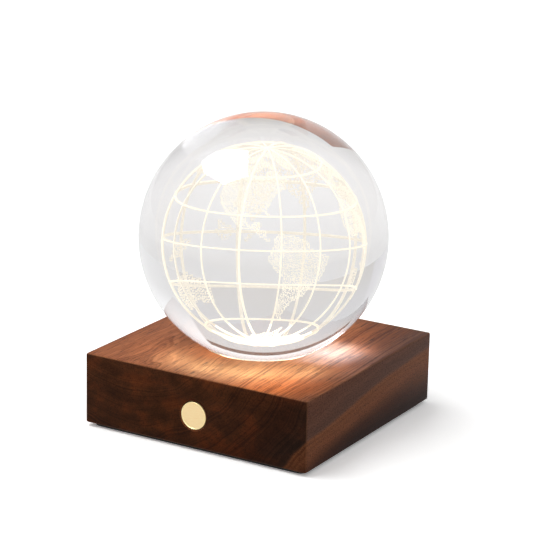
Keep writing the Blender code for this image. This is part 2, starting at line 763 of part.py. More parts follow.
def seat_cup():
    """A white cup that lines the bore, carries the gasket and holds the light under the ball."""
    profile = [
        (CUP_RADIUS, WOOD_TOP - CUP_LIP_DROP),
        (CUP_RADIUS, CUP_FLANGE_TOP),
        (CUP_FLANGE_RADIUS, CUP_FLANGE_TOP),
        (CUP_FLANGE_RADIUS, CUP_FLANGE_BOTTOM),
        (SKIRT_RADIUS, CUP_FLANGE_BOTTOM),
        (SKIRT_RADIUS, SKIRT_BOTTOM),
        (SKIRT_BORE, SKIRT_BOTTOM),
        (SKIRT_BORE, DIFFUSER_TOP + CLEARANCE),
        (WELL_RADIUS, DIFFUSER_TOP + CLEARANCE),
        (WELL_RADIUS, GASKET_FLOOR + CUP_INNER_LIP),
        (GASKET_SEAT_INNER, GASKET_FLOOR + CUP_INNER_LIP),
        (GASKET_SEAT_INNER, GASKET_FLOOR),
        (GASKET_SEAT_OUTER, GASKET_FLOOR),
        (GASKET_SEAT_OUTER, WOOD_TOP - CUP_LIP_DROP),
    ]
    obj = turned("seat_cup", profile, (0, 0, 0), WHITE_ABS, steps=FINE_STEPS, ring=True)
    for index, (x, y) in enumerate(cup_screw_places()):
        hole = cylinder(
            f"cup_hole_{index}",
            CUP_SCREW[2] + CLEARANCE,
            CUP_FLANGE_BOTTOM - OVERRUN,
            CUP_FLANGE_TOP + OVERRUN,
            (x, y, 0),
            steps=SMALL_STEPS,
        )
        combine(obj, hole)
    for index, (x, y) in enumerate(plate_screw_places()):
        hole = cylinder(
            f"skirt_hole_{index}",
            SMALL_SCREW[2] + CLEARANCE,
            SKIRT_BOTTOM - OVERRUN,
            HEAT_PLATE_BOTTOM + SMALL_SCREW[3] + CLEARANCE,
            (x, y, 0),
            steps=SMALL_STEPS,
        )
        combine(obj, hole)
    combine(obj, LEAD_SLOT)
    return obj


def cup_screw_places():
    return on_circle(CUP_SCREW_CIRCLE, 3, math.pi / 2)


def plate_screw_places():
    return on_circle(PLATE_SCREW_CIRCLE, 3, math.pi / 2)


def lead_slot_cutter():
    """The way out for the lamp leads, through the cup's skirt and the spacer ring."""
    bottom = LED_BOARD_TOP
    top = bottom + 2 * CLEARANCE + 2 * LEAD_RADIUS
    width = LEAD_SPACING + 2 * LEAD_RADIUS + 2 * CLEARANCE
    inner = lead_slot_inner_y()
    outer = -SKIRT_RADIUS - OVERRUN
    return block(
        "lead_slot_cutter",
        (width, inner - outer, top - bottom),
        (LED_CONNECTOR_X, (inner + outer) / 2, (top + bottom) / 2),
    )


def lead_slot_inner_y():
    """Where the slot ends, a lead's spacing inside the spacer ring's bore."""
    inner_radius = DIFFUSER_RADIUS - SPACER_WALL
    return LEAD_SPACING - math.sqrt(inner_radius**2 - LED_CONNECTOR_X**2)


def ball_gasket():
    """A silicone ring that the ball rests on."""
    centre = (GASKET_RADIUS, 0)
    start = math.pi / 2
    circle = arc_points(centre, GASKET_SECTION_RADIUS, start, start - 2 * math.pi, GASKET_SECTION_STEPS)
    place = (0, 0, GASKET_Z)
    return turned("ball_gasket", circle[:-1], place, CLEAR_SILICONE, steps=FINE_STEPS, ring=True)


def diffuser():
    sizes = (DIFFUSER_RADIUS, DIFFUSER_BOTTOM, DIFFUSER_TOP)
    return cylinder("diffuser", *sizes, (0, 0, 0), OPAL_ACRYLIC, steps=FINE_STEPS)


def spacer_ring():
    """A white ring between the lighting board and the diffuser."""
    top = DIFFUSER_BOTTOM - CLEARANCE
    bottom = LED_BOARD_TOP + CLEARANCE
    inner = DIFFUSER_RADIUS - SPACER_WALL
    profile = [(inner, top), (DIFFUSER_RADIUS, top), (DIFFUSER_RADIUS, bottom), (inner, bottom)]
    obj = turned("spacer_ring", profile, (0, 0, 0), WHITE_ABS, steps=FINE_STEPS, ring=True)
    combine(obj, LEAD_SLOT)
    return obj


# Lighting board


def led_board():
    sizes = (DIFFUSER_RADIUS, LED_BOARD_BOTTOM, LED_BOARD_TOP)
    return cylinder("led_board", *sizes, (0, 0, 0), WHITE_SOLDER_MASK, steps=FINE_STEPS)


def led_chips():
    """Warm white chips in a circle on the lighting board."""
    z = LED_BOARD_TOP + CLEARANCE + LED_HEIGHT / 2
    made = []
    for index, (x, y) in enumerate(on_circle(LED_CIRCLE_RADIUS, LED_COUNT)):
        size = (LED_LENGTH, LED_WIDTH, LED_HEIGHT)
        chip = block(f"led_{index + 1}", size, (x, y, z), LED_PHOSPHOR)
        chip.rotation_euler = (0, 0, math.atan2(y, x))
        made.append(chip)
    return made


def heat_plate():
    """An aluminium plate that closes the cup and carries the lighting board's heat away."""
    sizes = (SKIRT_RADIUS, HEAT_PLATE_BOTTOM, HEAT_PLATE_TOP)
    obj = cylinder("heat_plate", *sizes, (0, 0, 0), ALUMINIUM, steps=FINE_STEPS)
    for index, (x, y) in enumerate(plate_screw_places()):
        name = f"plate_hole_{index}"
        hole = countersunk_hole(name, SMALL_SCREW, HEAT_PLATE_BOTTOM, HEAT_PLATE_TOP, (x, y, 0))
        combine(obj, hole)
    return obj


# Battery


def battery_cell():
    obj = block(
        "battery_cell",
        (BATTERY_LENGTH, BATTERY_WIDTH, BATTERY_THICKNESS),
        (0, BATTERY_OFFSET_Y, (BATTERY_BOTTOM + BATTERY_TOP) / 2),
        BATTERY_FOIL,
    )
    bevel = obj.modifiers.new("rounded pouch", "BEVEL")
    bevel.width = BATTERY_EDGE_RADIUS
    bevel.segments = 2
    return obj


def battery_tape():
    return block(
        "battery_tape",
        (BATTERY_LENGTH - 2 * TAPE_MARGIN, BATTERY_WIDTH - 2 * TAPE_MARGIN, TAPE_THICKNESS),
        (0, BATTERY_OFFSET_Y, TAPE_BOTTOM + TAPE_THICKNESS / 2),
        FOAM_TAPE,
    )


# Push button: cap, stem, return spring and the guide behind them, along the button's axis


def on_button_axis(obj):
    """Local +Z points out of the front face, so depths are negative heights."""
    obj.parent = BUTTON_AXIS
    return obj


def button_cap():
    front = -BUTTON_RECESS
    socket_radius = STEM_RADIUS + CLEARANCE
    profile = [
        (0, front),
        (BUTTON_RADIUS - CAP_CHAMFER, front),
        (BUTTON_RADIUS, front - CAP_CHAMFER),
        (BUTTON_RADIUS, -CAP_FLANGE_FRONT),
        (CAP_FLANGE_RADIUS, -CAP_FLANGE_FRONT),
        (CAP_FLANGE_RADIUS, -CAP_FLANGE_BACK),
        (socket_radius, -CAP_FLANGE_BACK),
        (socket_radius, -CAP_FLANGE_BACK + CAP_SOCKET_DEPTH),
        (0, -CAP_FLANGE_BACK + CAP_SOCKET_DEPTH),
    ]
    return on_button_axis(turned("button_cap", profile, (0, 0, 0), BRASS, steps=BUTTON_STEPS))


def button_stem():
    top = -CAP_FLANGE_BACK + CAP_SOCKET_DEPTH - CLEARANCE
    obj = cylinder("button_stem", STEM_RADIUS, -STEM_TIP, top, (0, 0, 0), BLACK_ABS)
    return on_button_axis(obj)


def spring_points():
    """A helix between the cap's flange and the guide."""
    top = -CAP_FLANGE_BACK - CLEARANCE - SPRING_WIRE_RADIUS
    bottom = -GUIDE_DEPTH + CLEARANCE + SPRING_WIRE_RADIUS
    steps = int(SPRING_TURNS * SPRING_STEPS_A_TURN)
    points = []
    for step in range(steps + 1):
        turn = 2 * math.pi * SPRING_TURNS * step / steps
        height = top + (bottom - top) * step / steps
        points.append(Vector((SPRING_RADIUS * math.cos(turn), SPRING_RADIUS * math.sin(turn), height)))
    return points


def spring_gap(points):
    """The least gap between one curl and the next, from the points a full turn apart."""
    pairs = zip(points, points[SPRING_STEPS_A_TURN:])
    return min((after - before).length for before, after in pairs) - 2 * SPRING_WIRE_RADIUS


def return_spring():
    points = spring_points()
    print(f"return_spring: least gap between curls {spring_gap(points):.5f} m")
    return on_button_axis(tube("return_spring", points, SPRING_WIRE_RADIUS, SPRING_STEEL, resolution=1))


def tube(name, points, radius, finish, resolution=2):
    """A round wire along a list of points, with filled ends."""
    curve = bpy.data.curves.new(name, "CURVE")
    curve.dimensions = "3D"
    curve.bevel_depth = radius
    curve.bevel_resolution = resolution
    curve.use_fill_caps = True
    add_spline(curve, points)
    curve.materials.append(finish)
    obj = bpy.data.objects.new(name, curve)
    LAMP.objects.link(obj)
    return obj


def button_guide():
    """A bush in the counterbore, on a plate screwed to the inside of the front wall."""
    radius = GUIDE_BORE_RADIUS - CLEARANCE
    hole = STEM_RADIUS + CLEARANCE
    join = -GUIDE_PLATE_BACK + GUIDE_PLATE_THICKNESS / 2
    profile = [(hole, -GUIDE_DEPTH), (radius, -GUIDE_DEPTH), (radius, join), (hole, join)]
    obj = turned("button_guide", profile, (0, 0, 0), BLACK_ABS, ring=True)
    plate = block(
        "guide_plate",
        (GUIDE_PLATE_LENGTH, GUIDE_PLATE_HEIGHT, GUIDE_PLATE_THICKNESS),
        (0, 0, -(GUIDE_PLATE_FRONT + GUIDE_PLATE_BACK) / 2),
    )
    combine(obj, on_button_axis(plate), "UNION")
    bore_back = -GUIDE_PLATE_BACK - OVERRUN
    bore = cylinder("guide_bore", hole, bore_back, -GUIDE_DEPTH + OVERRUN, (0, 0, 0))
    combine(obj, on_button_axis(bore))
    for index, x in enumerate((-GUIDE_SCREW_X, GUIDE_SCREW_X)):
        screw_hole = cylinder(
            f"guide_screw_hole_{index}",
            SMALL_SCREW[2] + CLEARANCE,
            bore_back,
            -GUIDE_PLATE_FRONT + OVERRUN,
            (x, 0, 0),
            steps=SMALL_STEPS,
        )
        combine(obj, on_button_axis(screw_hole))
    return on_button_axis(obj)


def switch_body():
    """A right-angle push switch on the main board, bored for its actuator."""
    z = BOARD_TOP + CLEARANCE + SWITCH_HEIGHT / 2
    y = -BASE_HALF + SWITCH_FRONT + SWITCH_LENGTH / 2
    obj = block("switch_body", (SWITCH_WIDTH, SWITCH_LENGTH, SWITCH_HEIGHT), (0, y, z), BLACK_ABS)
    depth = ACTUATOR_HIDDEN_LENGTH + BUTTON_TRAVEL + CLEARANCE
    bore = cylinder(
        "actuator_bore",
        ACTUATOR_RADIUS + CLEARANCE,
        -SWITCH_FRONT - depth,
        -SWITCH_FRONT + OVERRUN,
        (0, 0, 0),
        steps=SMALL_STEPS,
    )
    combine(obj, on_button_axis(bore))
    return obj


def switch_actuator():
    sizes = (ACTUATOR_RADIUS, -SWITCH_FRONT - ACTUATOR_HIDDEN_LENGTH, -ACTUATOR_FRONT)
    return on_button_axis(cylinder("switch_actuator", *sizes, (0, 0, 0), WHITE_ABS, steps=SMALL_STEPS))


# Main board and what is soldered to it


def board_with_holes(name, size, location, places, finish):
    obj = block(name, size, location, finish)
    for index, (x, y) in enumerate(places):
        hole = cylinder(
            f"{name}_hole_{index}",
            SMALL_SCREW[2] + CLEARANCE,
            location[2] - size[2] / 2 - OVERRUN,
            location[2] + size[2] / 2 + OVERRUN,
            (x, y, 0),
            steps=SMALL_STEPS,
        )
        combine(obj, hole)
    return obj


def main_board():
    size = (BOARD_LENGTH, BOARD_WIDTH, BOARD_THICKNESS)
    place = (0, BOARD_Y, (BOARD_BOTTOM + BOARD_TOP) / 2)
    return board_with_holes("main_board", size, place, main_standoff_places(), GREEN_BOARD)


def on_board(name, size, x, y, finish, board_top=BOARD_TOP):
    return block(name, size, (x, y, board_top + CLEARANCE + size[2] / 2), finish)


def main_board_parts():
    chip = (CHIP_SIDE, CHIP_SIDE, CHIP_HEIGHT)
    connector = (CONNECTOR_LENGTH, CONNECTOR_WIDTH, CONNECTOR_HEIGHT)
    inductor = (INDUCTOR_SIDE, INDUCTOR_SIDE, INDUCTOR_HEIGHT)
    return [
        on_board("charger_chip", chip, BATTERY_CONNECTOR_X, CHIP_Y, CHIP_EPOXY),
        on_board("driver_chip", chip, DRIVER_CHIP_X, CHIP_Y, CHIP_EPOXY),
        on_board("inductor", inductor, INDUCTOR_X, BOARD_Y, FERRITE),
        on_board("led_connector", connector, LED_CONNECTOR_X, CONNECTOR_Y, CONNECTOR_NYLON),
        on_board("battery_connector", connector, BATTERY_CONNECTOR_X, CONNECTOR_Y, CONNECTOR_NYLON),
        on_board("charge_connector", connector, CHARGE_CONNECTOR_X, CONNECTOR_Y, CONNECTOR_NYLON),
    ]


# Charging port


def port_bezel():
    """A black insert in the back wall; its back wall has a slot for the socket's mouth."""
    centre_y = BASE_HALF - BEZEL_RECESS - BEZEL_LENGTH / 2
    obj = block(
        "port_bezel",
        (BEZEL_OUTER_WIDTH, BEZEL_LENGTH, BEZEL_OUTER_HEIGHT),
        (0, centre_y, PORT_Z),
        BLACK_ABS,
        corner_radius=PORT_CORNER_RADIUS + BEZEL_WALL,
        corner_axis=1,
    )
    recess_back = BEZEL_BACK_Y + BEZEL_BACK_WALL
    recess_front = BASE_HALF + OVERRUN
    recess = block(
        "port_recess_cutter",
        (PORT_WIDTH, recess_front - recess_back, PORT_HEIGHT),
        (0, (recess_front + recess_back) / 2, PORT_Z),
        corner_radius=PORT_CORNER_RADIUS,
        corner_axis=1,
    )
    slot = block(
        "port_slot_cutter",
        (USB_WIDTH, 2 * BEZEL_BACK_WALL + OVERRUN, USB_HEIGHT),
        (0, BEZEL_BACK_Y, PORT_Z),
        corner_radius=USB_CORNER_RADIUS,
        corner_axis=1,
    )
    combine_all(obj, [recess, slot])
    return obj


def usb_shell():
    """The stamped steel shell of the charging socket, open towards the back of the lamp."""
    y = USB_FRONT_Y - USB_LENGTH / 2
    obj = block(
        "usb_shell",
        (USB_WIDTH, USB_LENGTH, USB_HEIGHT),
        (0, y, PORT_Z),
        STEEL,
        corner_radius=USB_CORNER_RADIUS,
        corner_axis=1,
    )
    mouth = block(
        "usb_mouth_cutter",
        (USB_WIDTH - 2 * USB_SHEET, USB_LENGTH, USB_HEIGHT - 2 * USB_SHEET),
        (0, y + USB_SHEET + OVERRUN / 2, PORT_Z),
        corner_radius=USB_CORNER_RADIUS - USB_SHEET,
        corner_axis=1,
    )
    combine(obj, mouth)
    return obj


def usb_tongue():
    back = USB_FRONT_Y - USB_LENGTH + USB_SHEET + OVERRUN / 2 + CLEARANCE
    front = USB_FRONT_Y - 2 * USB_SHEET
    return block(
        "usb_tongue",
        (TONGUE_WIDTH, front - back, TONGUE_THICKNESS),
        (0, (front + back) / 2, PORT_Z),
        BLACK_ABS,
    )


def usb_board():
    size = (USB_BOARD_WIDTH, USB_BOARD_LENGTH, USB_BOARD_THICKNESS)
    place = (USB_BOARD_OFFSET_X, USB_BOARD_Y, (USB_BOARD_BOTTOM + USB_BOARD_TOP) / 2)
    return board_with_holes("usb_board", size, place, usb_standoff_places(), GREEN_BOARD)


def charge_led():
    side = INDICATOR_LED_SIDE
    y = USB_BOARD_EDGE_Y - side / 2
    return on_board("charge_led", (side, side, side), INDICATOR_X, y, LED_PHOSPHOR, USB_BOARD_TOP)


def charge_light_pipe():
    """A clear rod that shows the charging light on the back face."""
    front = -BEZEL_RECESS
    back = USB_BOARD_EDGE_Y + CLEARANCE - BASE_HALF
    obj = cylinder(
        "charge_light_pipe",
        INDICATOR_RADIUS,
        back,
        front,
        (INDICATOR_X, BASE_HALF, INDICATOR_Z),
        OPAL_ACRYLIC,
        steps=SMALL_STEPS,
    )
    obj.rotation_euler = (-math.pi / 2, 0, 0)
    return obj


# Fasteners


def screw_mesh(name, sizes, countersunk):
    """A cross-head screw pointing down -Z, its head's top or its countersunk face at the origin."""
    head_radius, head_height, shank_radius, length = sizes
    profile = [(0, 0), (head_radius, 0)]
    if countersunk:
        profile.append((shank_radius, -head_height))
    else:
        profile += [(head_radius, -head_height), (shank_radius, -head_height)]
    profile += [(shank_radius, shank_radius - length), (0, -length)]
    obj = turned(f"{name}_blank", profile, (0, 0, 0), steps=SMALL_STEPS)
    width = head_radius * RECESS_WIDTH_SHARE
    reach = head_radius * RECESS_LENGTH_SHARE
    depth = head_height * RECESS_DEPTH_SHARE
    size = (reach, width, 2 * depth)
    for turn in (0, 1):
        arm = block(f"{name}_recess_{turn}", size, (0, 0, 0))
        arm.rotation_euler = (0, 0, turn * math.pi / 2)
        combine(obj, arm)
    bpy.context.view_layer.update()
    return evaluated_mesh(obj)


def place_screws(name, mesh, places, rotation):
    for index, place in enumerate(places):
        screw = new_object(f"{name}_{index + 1}", mesh, STEEL, place)
        screw.rotation_euler = rotation


def screws():
    """All fasteners; pan heads stand a clearance off the face they clamp."""
    cover = screw_mesh("cover_screw", COVER_SCREW, countersunk=True)
    cup = screw_mesh("cup_screw", CUP_SCREW, countersunk=False)
    small = screw_mesh("small_screw", SMALL_SCREW, countersunk=False)
    plate = screw_mesh("plate_screw", SMALL_SCREW, countersunk=True)
    pointing_up = (math.pi, 0, 0)
    place_screws("cover_screw", cover, [(x, y, WOOD_BOTTOM) for x, y in cover_screw_places()], pointing_up)
    z = CUP_FLANGE_BOTTOM - CLEARANCE - CUP_SCREW[1]
    place_screws("cup_screw", cup, [(x, y, z) for x, y in cup_screw_places()], pointing_up)
    places = [(x, y, HEAT_PLATE_BOTTOM) for x, y in plate_screw_places()]
    place_screws("heat_plate_screw", plate, places, pointing_up)
    z = BOARD_TOP + CLEARANCE + SMALL_SCREW[1]
    place_screws("board_screw", small, [(x, y, z) for x, y in main_standoff_places()], (0, 0, 0))
    z = USB_BOARD_TOP + CLEARANCE + SMALL_SCREW[1]
    place_screws("usb_board_screw", small, [(x, y, z) for x, y in usb_standoff_places()], (0, 0, 0))
    y = -BASE_HALF + GUIDE_PLATE_BACK + CLEARANCE + SMALL_SCREW[1]
    places = [(-GUIDE_SCREW_X, y, BUTTON_Z), (GUIDE_SCREW_X, y, BUTTON_Z)]
    place_screws("guide_screw", small, places, (-math.pi / 2, 0, 0))


# Leads


def knot_heading(before, knot, after):
    """The way a route runs through a knot, nearer to the shorter of the stretches beside it."""
    arriving = knot - before
    leaving = after - knot
    heading = arriving.normalized() * leaving.length + leaving.normalized() * arriving.length
    return heading.normalized()


def smooth_route(knots):
    """Points of a smooth curve through the knots."""
    knots = [Vector(knot) for knot in knots]
    middle = [knot_heading(*stretch) for stretch in zip(knots, knots[1:], knots[2:])]
    headings = [(knots[1] - knots[0]).normalized(), *middle, (knots[-1] - knots[-2]).normalized()]
    points = [knots[0]]
    for start, end, leaving, arriving in zip(knots, knots[1:], headings, headings[1:]):
        handle = (end - start).length / 3
        curve = interpolate_bezier(
            start, start + leaving * handle, end - arriving * handle, end, LEAD_CURVE_STEPS + 1
        )
        points += curve[1:]
    return points


def lead_pair(name, knots):
    """A red and a black lead, side by side along one smooth route."""
    middle = smooth_route(knots)
    sides = route_sides(middle)
    for colour, share, finish in (("red", 0.5, RED_PVC), ("black", -0.5, BLACK_PVC)):
        points = [point + side * LEAD_SPACING * share for point, side in zip(middle, sides)]
        tube(f"{name}_{colour}", points, LEAD_RADIUS, finish)


def route_sides(points):
    """The level direction across a route at each point, kept where the route stands upright."""
    sides = []
    for before, after in zip([points[0], *points], [*points[1:], points[-1]]):
        heading = (after - before).normalized()
        across = Vector((-heading.y, heading.x, 0))
        if across.length < LEVEL_SHARE:
            across = sides[-1].copy()
        elif sides and across.dot(sides[-1]) < 0:
            across.negate()
        sides.append(across.normalized())
    return sides


def connector_entry(x):
    """Where a lead meets the back of a connector on the main board."""
    y = CONNECTOR_Y + CONNECTOR_WIDTH / 2 + CLEARANCE
    return (x, y, BOARD_TOP + CLEARANCE + CONNECTOR_HEIGHT / 2)


def led_leads():
    """From the lighting board out through the slot and down to the main board."""
    x, y, z = connector_entry(LED_CONNECTOR_X)
    slot_z = LED_BOARD_TOP + CLEARANCE + LEAD_RADIUS
    start_y = lead_slot_inner_y() - LEAD_SPACING
    outside_y = -SKIRT_RADIUS - LEAD_RADIUS
    lead_pair(
        "led_lead",
        [
            (x, start_y, slot_z),
            (x, (start_y + outside_y) / 2, slot_z),
            (x, outside_y, slot_z),
            (x, (outside_y + y) / 2, (slot_z + z) / 2),
            (x, y + 2 * LEAD_RADIUS, z),
            (x, y, z),
        ],
    )


def battery_leads():
    """From the front of the battery up behind the main board to its connector."""
    x, y, z = connector_entry(BATTERY_CONNECTOR_X)
    battery_y = BATTERY_OFFSET_Y - BATTERY_WIDTH / 2 - CLEARANCE
    battery_z = BATTERY_TOP - BATTERY_THICKNESS / 3
    plate_edge_y = -math.sqrt(SKIRT_RADIUS**2 - x**2)
    rise_y = (plate_edge_y + BOARD_BACK_Y) / 2
    lead_pair(
        "battery_lead",
        [
            (x, battery_y, battery_z),
            (x, battery_y - 2 * LEAD_RADIUS, battery_z),
            (x, rise_y, (battery_z + z) / 2),
            (x, (BOARD_BACK_Y + y) / 2, z),
            (x, y, z),
        ],
    )


def charge_leads():
    """From the charging board round the battery's right side to the main board."""
    x, y, z = connector_entry(CHARGE_CONNECTOR_X)
    bend = LEAD_BEND_RADIUS
    start_y = USB_BOARD_EDGE_Y - USB_BOARD_LENGTH - CLEARANCE
    start_z = USB_BOARD_BOTTOM + USB_BOARD_THICKNESS / 2
    exit_y = start_y - 2 * LEAD_RADIUS
    side_x = (BATTERY_LENGTH / 2 + CRADLE_RIB_THICKNESS + POCKET_HALF) / 2
    battery_front_y = BATTERY_OFFSET_Y - BATTERY_WIDTH / 2
    entry_y = y + 4 * LEAD_RADIUS
    lead_pair(
        "charge_lead",
        [
            (CHARGE_LEAD_X, start_y, start_z),
            (CHARGE_LEAD_X, exit_y, start_z),
            (CHARGE_LEAD_X + bend, exit_y - bend, start_z),
            (side_x - bend, exit_y - bend, start_z),
            (side_x, exit_y - 2 * bend, start_z),
            (side_x, exit_y - 3 * bend, start_z),
            (side_x, battery_front_y + 3 * bend, start_z),
            (side_x, battery_front_y + 2 * bend, start_z),
            ((side_x + x) / 2, (battery_front_y + bend + entry_y) / 2, (start_z + z) / 2),
            (x, entry_y, z),
            (x, y, z),
        ],
    )


def empty(name, location, rotation=(0, 0, 0)):
    obj = bpy.data.objects.new(name, None)
    obj.location = location
    obj.rotation_euler = rotation
    LAMP.objects.link(obj)
    return obj


clear_scene()
LAMP = new_collection("crystal_table_lamp")
CUTTERS = new_collection("cutters")

# Finishes, as linear colours
WALNUT = material("oiled walnut", (0.212, 0.088, 0.046), 0.45)
CRYSTAL = material("optical crystal", (0.95, 0.95, 0.95), 0.0, transmission=1.0)
BRASS = material("satin brass", (0.84, 0.62, 0.27), 0.28, metallic=1.0)
BLACK_ABS = material("black ABS", (0.012, 0.012, 0.012), 0.5)
WHITE_ABS = material("white ABS", (0.85, 0.85, 0.83), 0.4)
BLACK_RUBBER = material("black pad rubber", (0.010, 0.010, 0.010), 0.8)
CLEAR_SILICONE = material("clear silicone", (0.80, 0.80, 0.78), 0.35)
OPAL_ACRYLIC = material("opal acrylic", (0.90, 0.89, 0.86), 0.25)
WHITE_SOLDER_MASK = material("white solder mask", (0.80, 0.80, 0.78), 0.3)
GREEN_BOARD = material("green glass epoxy board", (0.010, 0.110, 0.040), 0.35)
LED_PHOSPHOR = material("warm white phosphor", (0.90, 0.72, 0.25), 0.4)
ALUMINIUM = material("aluminium sheet", (0.78, 0.78, 0.79), 0.35, metallic=1.0)
STEEL = material("zinc plated steel", (0.60, 0.60, 0.60), 0.3, metallic=1.0)
SPRING_STEEL = material("spring steel", (0.50, 0.50, 0.50), 0.3, metallic=1.0)
BATTERY_FOIL = material("battery pouch foil", (0.42, 0.43, 0.45), 0.3, metallic=0.6)
FOAM_TAPE = material("foam tape", (0.70, 0.70, 0.68), 0.9)
CHIP_EPOXY = material("chip epoxy", (0.012, 0.012, 0.013), 0.5)
FERRITE = material("ferrite", (0.035, 0.035, 0.037), 0.6)
CONNECTOR_NYLON = material("connector nylon", (0.78, 0.76, 0.70), 0.5)
RED_PVC = material("red lead insulation", (0.50, 0.015, 0.012), 0.45)
BLACK_PVC = material("black lead insulation", (0.012, 0.012, 0.012), 0.45)

BALL_AXIS = empty("ball_axis", (0, 0, BALL_CENTRE_Z))
BUTTON_AXIS = empty("button_axis", (0, -BASE_HALF, BUTTON_Z), (math.pi / 2, 0, 0))
LEAD_SLOT = lead_slot_cutter()

walnut_block()
bottom_cover()
anti_slip_pad()
crystal_ball()
seat_cup()
ball_gasket()
diffuser()
spacer_ring()
led_board()
led_chips()
heat_plate()
battery_cell()
battery_tape()
button_cap()
button_stem()
return_spring()
button_guide()
switch_body()
switch_actuator()
main_board()
main_board_parts()
port_bezel()
usb_shell()
usb_tongue()
usb_board()
charge_led()
charge_light_pipe()
screws()
led_leads()
battery_leads()
charge_leads()
shade_round(LAMP.objects)
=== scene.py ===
"""Looks of a crystal table lamp: a crystal ball with a globe engraved in it, on a walnut block.

Metres, +Z up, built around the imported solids. The push button faces -Y, the charging port +Y.
"""

from functools import partial
from math import cos, pi, radians, sin, sqrt

import bmesh
import bpy
import numpy as np
from mathutils import Matrix, Vector


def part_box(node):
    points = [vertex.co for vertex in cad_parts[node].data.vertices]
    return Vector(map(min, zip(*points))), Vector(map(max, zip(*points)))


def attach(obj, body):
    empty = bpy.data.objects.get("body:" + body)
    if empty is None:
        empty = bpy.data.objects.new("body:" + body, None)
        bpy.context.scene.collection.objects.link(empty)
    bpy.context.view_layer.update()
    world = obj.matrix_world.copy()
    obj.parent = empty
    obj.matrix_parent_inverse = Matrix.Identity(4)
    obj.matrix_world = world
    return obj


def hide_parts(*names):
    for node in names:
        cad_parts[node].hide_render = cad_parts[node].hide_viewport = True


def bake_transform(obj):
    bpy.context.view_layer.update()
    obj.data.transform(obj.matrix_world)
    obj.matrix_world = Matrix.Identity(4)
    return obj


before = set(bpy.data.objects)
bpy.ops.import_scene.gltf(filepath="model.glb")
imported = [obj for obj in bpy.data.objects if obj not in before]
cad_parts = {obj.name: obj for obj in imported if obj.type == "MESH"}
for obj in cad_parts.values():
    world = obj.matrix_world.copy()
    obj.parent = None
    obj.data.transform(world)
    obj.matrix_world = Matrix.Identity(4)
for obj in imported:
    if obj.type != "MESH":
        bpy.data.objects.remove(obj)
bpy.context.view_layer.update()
MM = 0.001


# Walnut block
# One solid piece of oiled black walnut, its grain running from front to back. It is routed
# hollow from below, bored from above for the ball's seat, and its arrises are eased by hand.

WOOD_LOW, WOOD_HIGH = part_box("walnut_block")
WOOD_HALF = WOOD_HIGH.x
ARRIS_RADIUS = 0.8 * MM
ARRIS_STEPS = 4
SIDE_WALL = 12.5 * MM
TOP_WALL = 7.6 * MM
POCKET_CORNER = 6.0 * MM
REBATE_CORNER = 3.0 * MM
SEAT_EDGE = 0.5 * MM
OVERRUN = 1.0 * MM
BALL_LOW, BALL_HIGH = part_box("crystal_ball")
BALL_RADIUS = (BALL_HIGH.z - BALL_LOW.z) / 2
BALL_CENTRE = (BALL_LOW + BALL_HIGH) / 2
BALL_SINK = WOOD_HIGH.z - BALL_LOW.z
FIT_GAP = 0.3 * MM
SEAT_RADIUS = sqrt(BALL_SINK * (2 * BALL_RADIUS - BALL_SINK)) + FIT_GAP
BUTTON_RADIUS = 5.6 * MM
BUTTON_RING_GAP = 0.4 * MM
BUTTON_STEP_DEPTH = 4.2 * MM
BUTTON_EDGE = 0.25 * MM
PORT_CORNER = 3.2 * MM
PORT_BAY_HEIGHT = 14 * MM
BORE_STEPS = 128
SMALL_BORE_STEPS = 32


def linear(code):
    """A linear RGBA colour from an sRGB hex code."""
    shares = [int(code[start : start + 2], 16) / 255 for start in (0, 2, 4)]
    return (*[s / 12.92 if s <= 0.04045 else ((s + 0.055) / 1.055) ** 2.4 for s in shares], 1.0)


def feed(node, inputs):
    """Sets a node's inputs, named or in order, each to a value, a socket or a list of sockets. The
    order for a range is the value, its span from low to high, and the span that it becomes."""
    for key, value in inputs.items() if isinstance(inputs, dict) else enumerate(inputs):
        for source in value if isinstance(value, list) else [value]:
            if isinstance(source, bpy.types.NodeSocket):
                node.id_data.links.new(source, node.inputs[key])
            else:
                node.inputs[key].default_value = source


def new_node(tree, kind, inputs=(), operation=None, out=0, stops=None, **settings):
    """Adds a node, a shader node if its kind is given in short. Gives back one of its outputs, or
    all for None. Stops are the places and colours of a ramp."""
    made = tree.nodes.new(kind if "Node" in kind else "ShaderNode" + kind)
    if operation:
        made.operation = operation
    for name, value in settings.items():
        setattr(made, name, value)
    feed(made, inputs)
    if stops:
        elements = made.color_ramp.elements
        elements.remove(elements[1])
        elements[0].position = stops[0][0]
        elements[0].color = linear(stops[0][1])
        for place, colour in stops[1:]:
            elements.new(place).color = linear(colour)
    return made.outputs if out is None else made.outputs[out]


def new_material(name):
    """A material, what adds nodes to it, and its shader."""
    made = bpy.data.materials.new(name)
    made.use_nodes = True
    tree = made.node_tree
    return made, partial(new_node, tree), tree.nodes["Principled BSDF"]


def new_object(name, data):
    made = bpy.data.objects.new(name, data)
    bpy.context.scene.collection.objects.link(made)
    return made


def object_from(name, form):
    """An object from an edited mesh, with all its faces turned outwards."""
    bmesh.ops.recalc_face_normals(form, faces=form.faces)
    mesh = bpy.data.meshes.new(name)
    form.to_mesh(mesh)
    form.free()
    return new_object(name, mesh)


